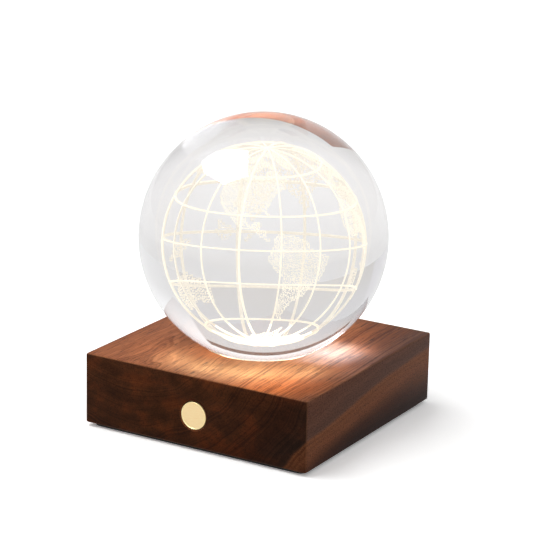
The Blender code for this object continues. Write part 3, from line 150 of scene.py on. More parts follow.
def turned(name, profile, steps, place=None):
    """A closed solid swept round Z from (radius, height) points, then put in its place."""
    form = bmesh.new()
    rings = []
    for radius, height in profile:
        turns = [2 * pi * step / steps for step in range(steps)] if radius else [0.0]
        spots = [(radius * cos(t), radius * sin(t), height) for t in turns]
        rings.append([form.verts.new(spot) for spot in spots])
    for near, far in zip(rings, [*rings[1:], rings[0]]):
        for step in range(steps):
            corners = []
            for ring, index in ((near, step), (near, step + 1), (far, step + 1), (far, step)):
                vert = ring[index % len(ring)]
                if vert not in corners:
                    corners.append(vert)
            if len(corners) > 2:
                form.faces.new(corners)
    if place:
        form.transform(place)
    return object_from(name, form)


def slab(name, low, high, corner, axis=None, steps=8):
    """A box between two corners, with its edges rounded: those along one axis, or all."""
    low, high = Vector(low), Vector(high)
    size = high - low
    place = Matrix.Translation((high + low) / 2) @ Matrix.Diagonal((*size, 1))
    form = bmesh.new()
    bmesh.ops.create_cube(form, size=1, matrix=place)
    edges = form.edges[:]
    if axis is not None:
        spans = [edge.verts[1].co - edge.verts[0].co for edge in edges]
        edges = [edge for edge, span in zip(edges, spans) if abs(span[axis]) > size[axis] / 2]
    bmesh.ops.bevel(form, geom=edges, offset=corner, segments=steps, affect="EDGES", profile=0.5)
    return object_from(name, form)


def plain_mesh(obj):
    """An object's mesh with its modifiers, or a curve's thickness, carried out."""
    graph = bpy.context.evaluated_depsgraph_get()
    return bpy.data.meshes.new_from_object(obj.evaluated_get(graph))


def settle(obj):
    """Carries out an object's modifiers."""
    plain = plain_mesh(obj)
    obj.modifiers.clear()
    obj.data = plain
    return obj


def cut(obj, cutters):
    """Cuts solids out of an object, one after the other."""
    for cutter in cutters:
        boolean = obj.modifiers.new("cut", "BOOLEAN")
        boolean.operation = "DIFFERENCE"
        boolean.solver = "EXACT"
        boolean.object = cutter
    settle(obj)
    for cutter in cutters:
        bpy.data.objects.remove(cutter)
    return obj


def shade(obj, angle=35.0):
    """Shades round faces smooth, and leaves edges over an angle sharp."""
    form = bmesh.new()
    form.from_mesh(obj.data)
    for face in form.faces:
        face.smooth = True
    for edge in form.edges:
        edge.smooth = len(edge.link_faces) == 2 and edge.calc_face_angle() < radians(angle)
    form.to_mesh(obj.data)
    form.free()
    return obj


def dress(obj, body, slot, made, *nodes):
    """Gives a finished piece its material and its body if it rides one whole, and hides the solids
    that it stands for. Its slot is not used."""
    obj.data.materials.clear()
    obj.data.materials.append(made)
    if body:
        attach(obj, body)
    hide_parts(*nodes)
    return obj


def eased_rim(radius, ease, height, steps=4):
    """Profile points that flare a bore of one radius outwards to meet a face at a height."""
    turns = [pi / 2 * step / steps for step in range(steps + 1)]
    return [(radius + ease * (1 - cos(t)), height - ease + ease * sin(t)) for t in turns]


def block_cutters():
    """The pocket, cover rebate, seat bore, button bore and port openings."""
    ceiling = WOOD_HIGH.z - TOP_WALL
    pocket = WOOD_HALF - SIDE_WALL
    floor = WOOD_LOW.z - OVERRUN
    cover_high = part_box("bottom_cover")[1]
    rebate = cover_high.x + FIT_GAP

    rim = eased_rim(SEAT_RADIUS, SEAT_EDGE, WOOD_HIGH.z)
    seat = [(0, ceiling - OVERRUN), (SEAT_RADIUS, ceiling - OVERRUN), *rim]
    seat += [(rim[-1][0], WOOD_HIGH.z + OVERRUN), (0, WOOD_HIGH.z + OVERRUN)]

    cap_low, cap_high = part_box("button_cap")
    flange = cap_high.x + 2 * FIT_GAP
    bore = BUTTON_RADIUS + BUTTON_RING_GAP
    rim = eased_rim(bore, BUTTON_EDGE, 0)
    button = [(0, -SIDE_WALL - OVERRUN), (flange, -SIDE_WALL - OVERRUN)]
    button += [(flange, -BUTTON_STEP_DEPTH), (bore, -BUTTON_STEP_DEPTH)]
    button += [*rim, (rim[-1][0], OVERRUN), (0, OVERRUN)]
    button_place = Matrix.Translation((0, -WOOD_HALF, (cap_low.z + cap_high.z) / 2))
    facing_front = button_place @ Matrix.Rotation(pi / 2, 4, "X")

    bezel_low, bezel_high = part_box("port_bezel")
    port_low = (bezel_low.x - FIT_GAP, pocket, bezel_low.z - FIT_GAP)
    port_high = (bezel_high.x + FIT_GAP, WOOD_HALF + OVERRUN, bezel_high.z + FIT_GAP)
    board_low, board_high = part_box("usb_board")
    bay_low = (board_low.x - OVERRUN, pocket - OVERRUN, cover_high.z)
    bay_high = (board_high.x + OVERRUN, bezel_low.y - FIT_GAP, WOOD_LOW.z + PORT_BAY_HEIGHT)

    pipe_low, pipe_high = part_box("charge_light_pipe")
    pipe_radius = (pipe_high.x - pipe_low.x) / 2 + FIT_GAP
    pipe_place = ((pipe_low.x + pipe_high.x) / 2, WOOD_HALF, (pipe_low.z + pipe_high.z) / 2)
    facing_back = Matrix.Translation(pipe_place) @ Matrix.Rotation(-pi / 2, 4, "X")
    pipe = [(0, -SIDE_WALL), (pipe_radius, -SIDE_WALL), (pipe_radius, OVERRUN), (0, OVERRUN)]

    rebate_high = (rebate, rebate, cover_high.z + FIT_GAP)
    return [
        slab("pocket", (-pocket, -pocket, floor), (pocket, pocket, ceiling), POCKET_CORNER, 2),
        slab("rebate", (-rebate, -rebate, floor), rebate_high, REBATE_CORNER, 2),
        turned("seat_bore", seat, BORE_STEPS),
        turned("button_bore", button, BORE_STEPS, facing_front),
        slab("port", port_low, port_high, PORT_CORNER, 1),
        slab("port_bay", bay_low, bay_high, OVERRUN, 2),
        turned("pipe_bore", pipe, SMALL_BORE_STEPS, facing_back),
    ]


def walnut_solid():
    whole = slab("walnut_block_fine", WOOD_LOW, WOOD_HIGH, ARRIS_RADIUS, steps=ARRIS_STEPS)
    return shade(cut(whole, block_cutters()))


# The grain, in mm: where the pith lies, how far the rings wander, how they lean from +Y
PITH = Vector((-31.5, 0.0, 60.5))
GRAIN_WANDER = Vector((9.0, 0.0, 9.0))
GRAIN_TURN = radians(-1.7)
GRAIN_RISE = radians(-2.6)
# Colours from the pith outwards, between rings of these radii, and where the sapwood lies
ZONE_RADII = (30.0, 110.0)
ZONES = [
    (0.00, "B67048"),
    (0.25, "B26D45"),
    (0.45, "AA643D"),
    (0.62, "8A5033"),
    (0.768, "785546"),
    (0.778, "A06542"),
    (0.82, "965D3E"),
    (0.855, "56311F"),
    (0.885, "301911"),
    (1.00, "26140D"),
]
SAPWOOD = [(0.768, "000000"), (0.780, "FFFFFF"), (0.858, "FFFFFF"), (0.874, "000000")]
STRIPE_TINTS = [(0.30, "928077"), (0.46, "DED6D2"), (0.58, "FFFFFF"), (0.72, "FFF6EE")]
FIBRE_TINTS = [(0.32, "907A6C"), (0.50, "F2EDE8"), (0.66, "FFFFFF")]
SPECKLE_TINTS = [(0.36, "A8A09C"), (0.50, "FAF8F8"), (0.60, "FFFFFF")]
SOAK_TINTS = [(0.36, "6E6A5C"), (0.50, "88847A"), (0.66, "B4A28C")]
BLENDED = {"out": 2, "data_type": "RGBA"}
TINTED = {**BLENDED, "blend_type": "MULTIPLY"}
SMOOTH = {"interpolation_type": "SMOOTHSTEP"}


def walnut():
    """Growth rings round a pith that lies above the block's left side, with a paler sapwood
    band where the rings cross the lower right corner. The rings give the broad stripes, the
    fibres the fine streaks along the grain, the pores the short dark dashes. The sides that
    face X are quarter-sawn, calmer and speckled. End grain drinks the oil and turns far darker,
    and painted shade darkens it further towards the block's foot. The eased arrises are painted
    paler, partly as wear and partly as a painted highlight."""
    made, add, shader = new_material("oiled black walnut")
    spots = add("TexCoord", out=None)
    place = add("VectorMath", {0: spots["Object"], 3: 1 / MM}, "SCALE")
    slow = add("Mapping", {"Vector": place, "Scale": (0.035, 0.011, 0.035)})
    waves = {"Vector": slow, "Scale": 1.0, "Detail": 2.5, "Roughness": 0.5}
    wander = add("TexNoise", waves, out=1)
    bent = add("VectorMath", (wander, GRAIN_WANDER, place), "MULTIPLY_ADD")
    lean = {"Location": -PITH - GRAIN_WANDER / 2, "Rotation": (GRAIN_RISE, 0, GRAIN_TURN)}
    grain = add("Mapping", {"Vector": bent, **lean})
    flat = add("VectorMath", (grain, (1, 0, 1)), "MULTIPLY")
    ring = add("VectorMath", [flat], "LENGTH", out=1)

    bands = {"W": ring, "Scale": 0.16, "Detail": 4.0, "Roughness": 0.62}
    broad = add("TexNoise", bands, noise_dimensions="1D")
    shifted = add("Math", (broad, 16.0, ring), "MULTIPLY_ADD")
    lines = {"W": shifted, "Scale": 0.55, "Detail": 5.0, "Roughness": 0.68}
    stripe = add("TexNoise", lines, noise_dimensions="1D")
    fibre, pore, speckle, blotch = [
        add(
            "TexNoise",
            {
                "Vector": add("Mapping", {"Vector": spot, "Scale": scale}),
                "Scale": 1.0,
                "Detail": detail,
                "Roughness": roughness,
            },
        )
        for spot, scale, detail, roughness in (
            (bent, (1.7, 0.035, 1.7), 5.0, 0.7),
            (place, (3.6, 0.16, 3.6), 2.0, 0.5),
            (place, (1.0, 1.1, 1.9), 3.0, 0.7),
            (place, (0.07, 0.02, 0.11), 3.0, 0.6),
        )
    ]

    facing = add("VectorMath", [spots["Normal"]], "ABSOLUTE")
    faces = add("SeparateXYZ", [facing], out=None)
    quarter_sawn, end_grain = [
        add("MapRange", (faces[axis], 0.55, 0.95), **SMOOTH)
        for axis in "XY"
    ]
    even = add("Math", (quarter_sawn, -0.62, 1.0), "MULTIPLY_ADD")
    stripe_share = add("Math", (end_grain, -0.15, even), "MULTIPLY_ADD")
    fibre_share = add("Math", (quarter_sawn, -0.5, 0.85), "MULTIPLY_ADD")
    pore_share = add("Math", (quarter_sawn, -0.7, 1.0), "MULTIPLY_ADD")

    along = add("MapRange", (ring, *ZONE_RADII))
    colour = add("ValToRGB", [along], stops=ZONES)
    for share, figure, tints in (
        (stripe_share, stripe, STRIPE_TINTS),
        (fibre_share, fibre, FIBRE_TINTS),
        (quarter_sawn, speckle, SPECKLE_TINTS),
    ):
        tint = add("ValToRGB", [figure], stops=tints)
        colour = add("Mix", {0: share, 6: colour, 7: tint}, **TINTED)
    pore_depth = add("MapRange", (pore, 0.58, 0.70), **SMOOTH)
    open_pores = add("Math", (pore_depth, pore_share), "MULTIPLY")
    pored = add("Mix", {0: open_pores, 6: colour, 7: linear("3A2018")}, **BLENDED)

    soak_and_shade = add("ValToRGB", [blotch], stops=SOAK_TINTS)
    # Painted shade: the end grain's soaked tone is darkened further towards the block's foot, to
    # 0.8 at the bottom
    height = add("SeparateXYZ", [place], out=2)
    painted_foot_shade = add("MapRange", (height, 2.0, 26.0, 0.80))
    soak_and_shade = add("VectorMath", {0: soak_and_shade, 3: painted_foot_shade}, "SCALE")
    soaked_and_shaded = add("Mix", {0: 1.0, 6: pored, 7: soak_and_shade}, **TINTED)
    sapwood = add("ValToRGB", [along], stops=SAPWOOD)
    soak_share = add("Math", (sapwood, -0.62, 1.0), "MULTIPLY_ADD")
    darkened = add("Math", (end_grain, soak_share), "MULTIPLY")
    ended = add("Mix", {0: darkened, 6: pored, 7: soaked_and_shaded}, **BLENDED)

    # The arrises are painted paler: partly wear, partly a painted highlight along the edges
    widest = add("Math", (faces["Y"], faces["Z"]), "MAXIMUM")
    widest = add("Math", (faces["X"], widest), "MAXIMUM")
    wear_and_highlight = add("MapRange", (widest, 0.99, 0.80, 0.0, 0.14), **SMOOTH)
    colour = add("Mix", {0: wear_and_highlight, 6: ended, 7: linear("9A7052")}, **BLENDED)
    sheen = add("MapRange", (fibre, 0.0, 1.0, 0.40, 0.62))
    relief = add("Math", (pore_depth, -0.8, fibre), "MULTIPLY_ADD")
    bump = add("Bump", {"Strength": 0.5, "Distance": 0.05 * MM, "Height": relief})
    looks = {"Base Color": colour, "Roughness": sheen, "Normal": bump}
    feed(shader, {**looks, "Specular IOR Level": 0.07})
    return made


block = dress(walnut_solid(), "base", "walnut", walnut(), "walnut_block")


# Seat: cup, gasket, spacer ring and opal diffuser
# A white moulded cup lines the bore and is screwed to the wood from below. A clear silicone
# ring lies in its lip for the ball, and an opal acrylic disc drops in over the lights.

WELD_GAP = 0.002 * MM
GLOSS_SWING = 0.08


def refined(node, slot, made, ease=0.15, steps=2):
    """Shows a CAD node as a fine copy: its facets joined and its edges eased by so many mm."""
    form = bmesh.new()
    form.from_mesh(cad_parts[node].data)
    bmesh.ops.remove_doubles(form, verts=form.verts, dist=WELD_GAP)
    mesh = bpy.data.meshes.new(node + "_fine")
    form.to_mesh(mesh)
    form.free()
    fine = new_object(node + "_fine", mesh)
    if ease:
        bevel = fine.modifiers.new("eased edges", "BEVEL")
        bevel.width = ease * MM
        bevel.segments = steps
        bevel.limit_method = "ANGLE"
        bevel.angle_limit = radians(40)
        settle(fine)
    dress(shade(fine), "base", slot, made, node)


def finish(made, *nodes):
    """Gives its material to each solid that is shown as it is."""
    for node in nodes:
        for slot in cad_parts[node].material_slots:
            slot.material = made


def mottled(name, colour, deeper, roughness, grain, relief, cells=False, stretch=(1, 1, 1), **more):
    """A finish whose colour, gloss and surface vary over grains, or cells, of so many mm, which
    may be stretched along an axis."""
    made, add, shader = new_material(name)
    scale = Vector(stretch) / (grain * MM)
    place = add("Mapping", {"Vector": add("TexCoord", out=3), "Scale": scale})
    if cells:
        fine = add("TexVoronoi", {"Vector": place, "Scale": 1.0})
    else:
        fine = add("TexNoise", {"Vector": place, "Scale": 1.0, "Detail": 4.0})
    coarse = add("TexNoise", {"Vector": place, "Scale": 0.12, "Detail": 2.0})
    tone = add("ValToRGB", [coarse], stops=[(0.3, deeper), (0.65, colour)])
    swing = (roughness - GLOSS_SWING, roughness + GLOSS_SWING)
    gloss = add("MapRange", (fine, 0.0, 1.0, *swing))
    bump = add("Bump", {"Strength": 0.4, "Distance": relief * MM, "Height": fine})
    feed(shader, {"Base Color": tone, "Roughness": gloss, "Normal": bump})
    feed(shader, {key.replace("_", " "): value for key, value in more.items()})
    return made


def lit(colour, strength):
    """The glow of a finish that passes the lamp's light on."""
    return {"Emission_Color": linear(colour), "Emission_Strength": strength}


# Moulded ABS: even white with a satin skin, warmed by the light that it passes on
WHITE_ABS = mottled(
    "moulded white ABS, lit inside", "F2F1EC", "E6E4DC", 0.42, 0.5, 0.01, **lit("FFD9A0", 0.6)
)
# Silicone: clear, soft and slightly cloudy
SILICONE = mottled(
    "clear silicone", "F4F3EE", "E4E2DA", 0.3, 0.8, 0.01, Transmission_Weight=0.7, IOR=1.41
)
# Opal acrylic: milky, with an even glow over the whole disc
OPAL = mottled(
    "opal acrylic, lit from below", "FBF6EC", "F3EBDC", 0.25, 2.0, 0.004, **lit("FFE2B4", 3.0)
)
refined("seat_cup", "white_abs", WHITE_ABS)
refined("ball_gasket", "silicone", SILICONE, ease=0)
refined("spacer_ring", "white_abs", WHITE_ABS)
refined("diffuser", "opal_acrylic", OPAL)


# Lighting board with its six lights, and the plate that closes the cup
# A round board of white-masked laminate carries six warm white chips. A turned aluminium plate
# takes their heat and is screwed to the cup from below.

# Solder mask: glossy white with the copper's edges just showing under it
WHITE_MASK = mottled("white solder mask", "F3F3EE", "E2E4DF", 0.28, 1.6, 0.02, cells=True)
# Phosphor: a yellow gel over the chip, glowing
PHOSPHOR = mottled(
    "lit yellow phosphor", "F6D36A", "EDBB45", 0.45, 0.1, 0.005, **lit("FFD9A0", 4.0)
)
# Turned aluminium: fine tool lines and a soft metallic sheen
ALUMINIUM = mottled(
    "turned aluminium", "D5D7DA", "C2C5C9", 0.34, 0.12, 0.004, stretch=(0.15, 1, 1), Metallic=1.0
)
# Zinc-plated steel: bluish, slightly uneven plating
ZINC = mottled("zinc-plated steel", "C9CDD2", "AEB3B8", 0.32, 0.4, 0.003, Metallic=1.0)
finish(WHITE_MASK, "led_board")
finish(PHOSPHOR, *[f"led_{number}" for number in range(1, 7)])
refined("heat_plate", "aluminium", ALUMINIUM)
for held in ("heat_plate", "cup"):
    finish(ZINC, *[f"{held}_screw_{number}" for number in (1, 2, 3)])


# Push button
# A turned brass cap with a flange behind the wood, pressed on a moulded stem. A steel spring
# pushes it out against the step of its bore, and a guide screwed to the wood carries the stem.

CAP_LOW, CAP_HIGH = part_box("button_cap")
CAP_HEIGHT = (CAP_LOW.z + CAP_HIGH.z) / 2
CAP_BEVEL = 0.3 * MM
CAP_LIP = 0.3 * MM
CAP_DISH = 0.22 * MM
CAP_BEVEL_STEPS = 6
CAP_SOCKET_RADIUS = 2.3 * MM
CAP_SOCKET_DEPTH = 1.8 * MM
CAP_FLANGE = 1.2 * MM
SPRING_LOW, SPRING_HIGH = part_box("return_spring")
SPRING_WIRE_RADIUS = 0.25 * MM
SPRING_TURNS = 3.5
SPRING_STEPS_A_TURN = 36


def button_cap():
    """The cap as it is turned: a face set a little into its lip, a neck, a flange, a socket."""
    lip = BUTTON_RADIUS - CAP_BEVEL
    back = CAP_LOW.y - CAP_HIGH.y
    turns = [pi / 2 * step / CAP_BEVEL_STEPS for step in range(CAP_BEVEL_STEPS + 1)]
    rim = [(lip + CAP_BEVEL * sin(t), CAP_BEVEL * (cos(t) - 1)) for t in turns]
    dish = lip - CAP_LIP
    profile = [(0, -CAP_DISH), (dish - CAP_LIP, -CAP_DISH), (dish, -CAP_DISH), *rim]
    profile += [(BUTTON_RADIUS, back + CAP_FLANGE), (CAP_HIGH.x, back + CAP_FLANGE)]
    profile += [(CAP_HIGH.x, back), (CAP_SOCKET_RADIUS, back)]
    profile += [(CAP_SOCKET_RADIUS, back + CAP_SOCKET_DEPTH), (0, back + CAP_SOCKET_DEPTH)]
    place = Matrix.Translation((0, CAP_LOW.y, CAP_HEIGHT)) @ Matrix.Rotation(pi / 2, 4, "X")
    return shade(turned("button_cap_fine", profile, BORE_STEPS, place))


def satin_brass():
    """Brass: warm pale gold. Its face is brushed satin with fine level strokes, and its rim is
    polished from the tool. The rim's paler colour is a painted highlight, so that it shows as a
    thin bright ring."""
    made, add, shader = new_material("satin brass")
    spots = add("TexCoord", out=None)
    drawn = add("Mapping", {"Vector": spots["Object"], "Scale": (400.0, 9000.0, 9000.0)})
    strokes = add("TexNoise", {"Vector": drawn, "Scale": 1.0, "Detail": 3.0})
    front = add("SeparateXYZ", [spots["Normal"]], out=1)
    faced = add("MapRange", (front, -0.93, -0.995))
    tone = add("ValToRGB", [strokes], stops=[(0.3, "FBDBA2"), (0.7, "FFE8B8")])
    # The rim's paler colour is a painted highlight; only its lower roughness is its polish
    colour = add("Mix", {0: faced, 6: linear("FFEDB4"), 7: tone}, **BLENDED)
    gloss = add("MapRange", (faced, 0.0, 1.0, 0.34, 0.42))
    bump = add("Bump", {"Strength": 0.25, "Distance": 0.01 * MM, "Height": strokes})
    feed(shader, {"Base Color": colour, "Roughness": gloss, "Normal": bump, "Metallic": 1.0})
    return made


def return_spring():
    """Round wire wound about the stem, between the cap's flange and the guide."""
    curl = bpy.data.curves.new("return_spring_wire", "CURVE")
    curl.dimensions = "3D"
    curl.bevel_depth = SPRING_WIRE_RADIUS
    curl.bevel_resolution = 2
    curl.use_fill_caps = True
    radius = SPRING_HIGH.x - SPRING_WIRE_RADIUS
    front = SPRING_LOW.y + SPRING_WIRE_RADIUS
    pitch = (SPRING_HIGH.y - SPRING_WIRE_RADIUS - front) / SPRING_TURNS
    line = curl.splines.new("POLY")
    line.points.add(int(SPRING_TURNS * SPRING_STEPS_A_TURN))
    for step, point in enumerate(line.points):
        turns = step / SPRING_STEPS_A_TURN
        angle = 2 * pi * turns
        across, up = radius * cos(angle), radius * sin(angle)
        point.co = (across, front + pitch * turns, CAP_HEIGHT + up, 1)
    wire = new_object("return_spring_wire", curl)
    mesh = plain_mesh(wire)
    bpy.data.objects.remove(wire)
    return shade(new_object("return_spring_fine", mesh))


# Moulded ABS in black: a fine spark-eroded grain that breaks up its sheen
BLACK_ABS = mottled("moulded black ABS", "1B1B1C", "131314", 0.52, 0.25, 0.02)
# Spring steel: drawn wire, dark grey with a dull shine
SPRING_STEEL = mottled(
    "drawn spring steel", "8F9194", "75777A", 0.30, 0.15, 0.003, stretch=(1, 0.3, 1), Metallic=1.0
)
dress(button_cap(), "button", "brass", satin_brass(), "button_cap")
finish(BLACK_ABS, "button_stem", "button_guide", "switch_body")
finish(ZINC, "guide_screw_1", "guide_screw_2")
spring = dress(return_spring(), None, "spring_steel", SPRING_STEEL, "return_spring")
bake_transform(spring)


# Main board
# A green laminate board on two standoffs. It carries the charger and the driver for the lights,
# the switch behind the button, an inductor and three wire connectors.


def printed_board(name, mask, over_copper, pitch):
    """Laminate under a glossy mask: square-cornered tracks, a pitch of so many mm apart, show
    paler and stand a little proud."""
    made, add, shader = new_material(name)
    spots = add("TexCoord", out=3)
    place = add("Mapping", {"Vector": spots, "Scale": (1 / MM, 1 / MM, 1 / MM)})
    tracks = add(
        "TexBrick",
        {
            "Vector": place,
            "Color1": linear(mask),
            "Color2": linear(mask),
            "Mortar": linear(over_copper),
            "Scale": 1.0,
            "Mortar Size": pitch / 10,
            "Mortar Smooth": 0.1,
            "Brick Width": pitch * 4,
            "Row Height": pitch,
        },
    )
    height = add("RGBToBW", [tracks])
    bump = add("Bump", {"Strength": 0.5, "Distance": 0.035 * MM, "Height": height})
    weave = add("TexNoise", {"Vector": place, "Scale": 2.0, "Detail": 2.0})
    gloss = add("MapRange", (weave, 0.0, 1.0, 0.22, 0.36))
    feed(shader, {"Base Color": tracks, "Roughness": gloss, "Normal": bump})
    return made


GREEN_BOARD = printed_board("green laminate board", "145A32", "2F8A50", 1.3)
# Chip epoxy: matt near-black with a fine moulded grain
CHIP_EPOXY = mottled("moulded chip epoxy", "232425", "1A1B1C", 0.62, 0.12, 0.008)
# Ferrite: dark grey sintered ceramic with tiny pits
FERRITE = mottled("sintered ferrite", "3A3B3D", "2B2C2E", 0.72, 0.2, 0.02, cells=True)
# Nylon: off-white and slightly waxy
NYLON = mottled("moulded nylon", "EFEADB", "E2DCC9", 0.46, 0.6, 0.01)
# Moulded ABS in white, away from the light
PLAIN_WHITE_ABS = mottled("moulded white ABS", "EFEEE9", "E3E1DA", 0.45, 0.5, 0.01)
finish(GREEN_BOARD, "main_board", "usb_board")
finish(CHIP_EPOXY, "charger_chip", "driver_chip")
finish(FERRITE, "inductor")
finish(NYLON, "led_connector", "battery_connector", "charge_connector")
finish(PLAIN_WHITE_ABS, "switch_actuator")
finish(ZINC, "board_screw_1", "board_screw_2")


# Battery
# A flat rechargeable cell in a sealed foil pouch, stuck to the cover between its ribs with a
# pad of foam tape.

# Pouch foil: crimped aluminium film, silver grey with soft creases
POUCH_FOIL = mottled("battery pouch foil", "C6C8CA", "A9ACAF", 0.30, 2.2, 0.12, Metallic=0.85)
# Foam tape: open cells and a matt face
FOAM_TAPE = mottled("foam tape", "F0EEE8", "DEDBD2", 0.85, 0.35, 0.05, cells=True)
finish(POUCH_FOIL, "battery_cell")
finish(FOAM_TAPE, "battery_tape")


# Charging port
# A moulded bezel fills the opening in the back face. Behind it a folded steel shell with its
# tongue sits on a small board, next to a light whose short pipe shows in the back face.

# Stainless steel: folded sheet, bright with faint rolling lines
ROLLED = {"stretch": (0.2, 1, 1), "Metallic": 1.0}
STAINLESS = mottled("folded stainless steel", "D9DADB", "C4C6C8", 0.22, 0.2, 0.003, **ROLLED)
# Clear acrylic turned milky by its ground ends
LIGHT_PIPE = mottled("ground acrylic light pipe", "F4F4F1", "E6E6E2", 0.35, 0.4, 0.006)
refined("port_bezel", "black_abs", BLACK_ABS, ease=0.25, steps=3)
refined("usb_shell", "zinc_steel", STAINLESS, ease=0.1)
refined("charge_light_pipe", "opal_acrylic", LIGHT_PIPE, ease=0.1)
finish(BLACK_ABS, "usb_tongue")
finish(PHOSPHOR, "charge_led")
finish(ZINC, "usb_board_screw_1", "usb_board_screw_2")


# Leads
# Stranded wire in soft PVC, one red and one black from each connector: to the lights, to the
# battery and to the charging port.

# PVC insulation: smooth and slightly shiny
RED_PVC = mottled("red PVC insulation", "B5201C", "9E1815", 0.38, 0.8, 0.004)
BLACK_PVC = mottled("black PVC insulation", "1A1A1B", "111112", 0.38, 0.8, 0.004)
for lead in ("led_lead", "battery_lead", "charge_lead"):
    finish(RED_PVC, f"{lead}_red")
    finish(BLACK_PVC, f"{lead}_black")


# Bottom cover and anti-slip pad
# A moulded cover with standoffs and ribs closes the block and is held by four screws. A thin
# die-cut rubber pad is stuck over it, a little smaller than the block.

# Rubber: matt black with a fine pressed texture
PAD_RUBBER = mottled("textured black rubber", "1D1D1D", "151515", 0.82, 0.7, 0.08, cells=True)
finish(BLACK_ABS, "bottom_cover")
finish(ZINC, *[f"cover_screw_{number}" for number in (1, 2, 3, 4)])
refined("anti_slip_pad", "pad_rubber", PAD_RUBBER, ease=0.2)


# Crystal ball with the engraved globe
# A ground and polished ball of optical crystal. A laser has drawn a globe inside it as fine
# white marks: twelve meridians, five parallels and the land in dots, lit from the seat.

CRYSTAL_IOR = 1.5168
BALL_SUBDIVISIONS = 7
GLOBE_RADIUS = 25.2 * MM
GLOBE_OFFSET = Vector((-1.25, 2.59, -2.64)) * MM
GLOBE_TILT = (
    Matrix.Rotation(radians(-4.52), 4, "Y")
    @ Matrix.Rotation(radians(-8.62), 4, "X")
    @ Matrix.Rotation(radians(-46.95), 4, "Z")
)
GLOBE_PLACE = Matrix.Translation(BALL_CENTRE + GLOBE_OFFSET) @ GLOBE_TILT
LAND_TIP = Matrix.Rotation(radians(3.4), 4, "X")
LAND_TURN = Matrix.Rotation(radians(72), 4, "Z")
MERIDIAN_RINGS = 6
PARALLELS = (-55.7, -24.4, 0.0, 24.4, 55.7)
LINE_WIDTH = 0.50 * MM
LINE_STEPS = 120
DOT_RADIUS = 0.24 * MM
DOT_SPACING = 0.40 * MM
DOTS_A_SQUARE_METRE = 1.2e7
DOT_SEED = 4
COAST_WIDTH = 0.09 * MM
LAND_CELL = 1.5
POLE_LATITUDE = 89.9
FOOT_DEPTH = 3.2 * MM
OUTWARD_SHARE = 0.3


def crystal():
    """Clear optical crystal: no colour of its own but a trace of grey, and a perfect polish."""
    made, add, shader = new_material("optical crystal")
    place = add("TexCoord", out=3)
    polish = add("TexNoise", {"Vector": place, "Scale": 30.0, "Detail": 2.0})
    haze = add("MapRange", (polish, 0.0, 1.0, 0.0, 0.004))
    glass = {"IOR": CRYSTAL_IOR, "Transmission Weight": 1.0}
    feed(shader, {"Base Color": linear("F1F1F3"), "Roughness": haze, **glass})
    return made


def lit_mark(name, colour, strength):
    """Laser marks seen as light: crazed crystal that throws the lamp's light about."""
    made, add, shader = new_material(name)
    place = add("TexCoord", out=3)
    grit = add("TexNoise", {"Vector": place, "Scale": 2500.0, "Detail": 2.0})
    tone = add("ValToRGB", [grit], stops=[(0.3, "6E6A62"), (0.7, "86827A")])
    glow = {"Emission Color": linear(colour), "Emission Strength": strength}
    feed(shader, {"Base Color": tone, "Roughness": 0.8, **glow})
    return made


BRIGHT_MARK = lit_mark("laser marks, outward side", "FFF8E4", 1.02)
FAINT_MARK = lit_mark("laser marks, inward side", "FAF2E2", 0.84)
FOOT_MARK = lit_mark("laser marks, over the lights", "FFF8E4", 1.50)


def geometry_tree(name, sizes):
    """A Geometry Nodes tree with named sizes, what adds nodes to it, and its input's outputs."""
    tree = bpy.data.node_groups.new(name, "GeometryNodeTree")
    tree.interface.new_socket("Geometry", in_out="INPUT", socket_type="NodeSocketGeometry")
    for size in sizes:
        tree.interface.new_socket(size, in_out="INPUT", socket_type="NodeSocketFloat")
    tree.interface.new_socket("Geometry", in_out="OUTPUT", socket_type="NodeSocketGeometry")
    add = partial(new_node, tree)
    return tree, add, add("NodeGroupInput", out=None)


def as_marks(add, geometry):
    """Ends a tree: instances made real, lit more on their outward sides and most at the foot."""
    marks = add("GeometryNodeRealizeInstances", {"Geometry": geometry})
    place = add("GeometryNodeInputPosition")
    normal = add("GeometryNodeInputNormal")
    away = add("VectorMath", [place], "NORMALIZE")
    outward = add("VectorMath", (normal, away), "DOT_PRODUCT", out=1)
    height = add("SeparateXYZ", [place], out=2)
    marks = add("GeometryNodeSetMaterial", {"Geometry": marks, "Material": FAINT_MARK})
    for measure, edge, side, made in (
        (outward, OUTWARD_SHARE, "GREATER_THAN", BRIGHT_MARK),
        (height, FOOT_DEPTH - GLOBE_RADIUS, "LESS_THAN", FOOT_MARK),
    ):
        chosen = add("FunctionNodeCompare", (measure, edge), side)
        lit_more = {"Geometry": marks, "Selection": chosen, "Material": made}
        marks = add("GeometryNodeSetMaterial", lit_more)
    add("NodeGroupOutput", {"Geometry": marks}, out=None)


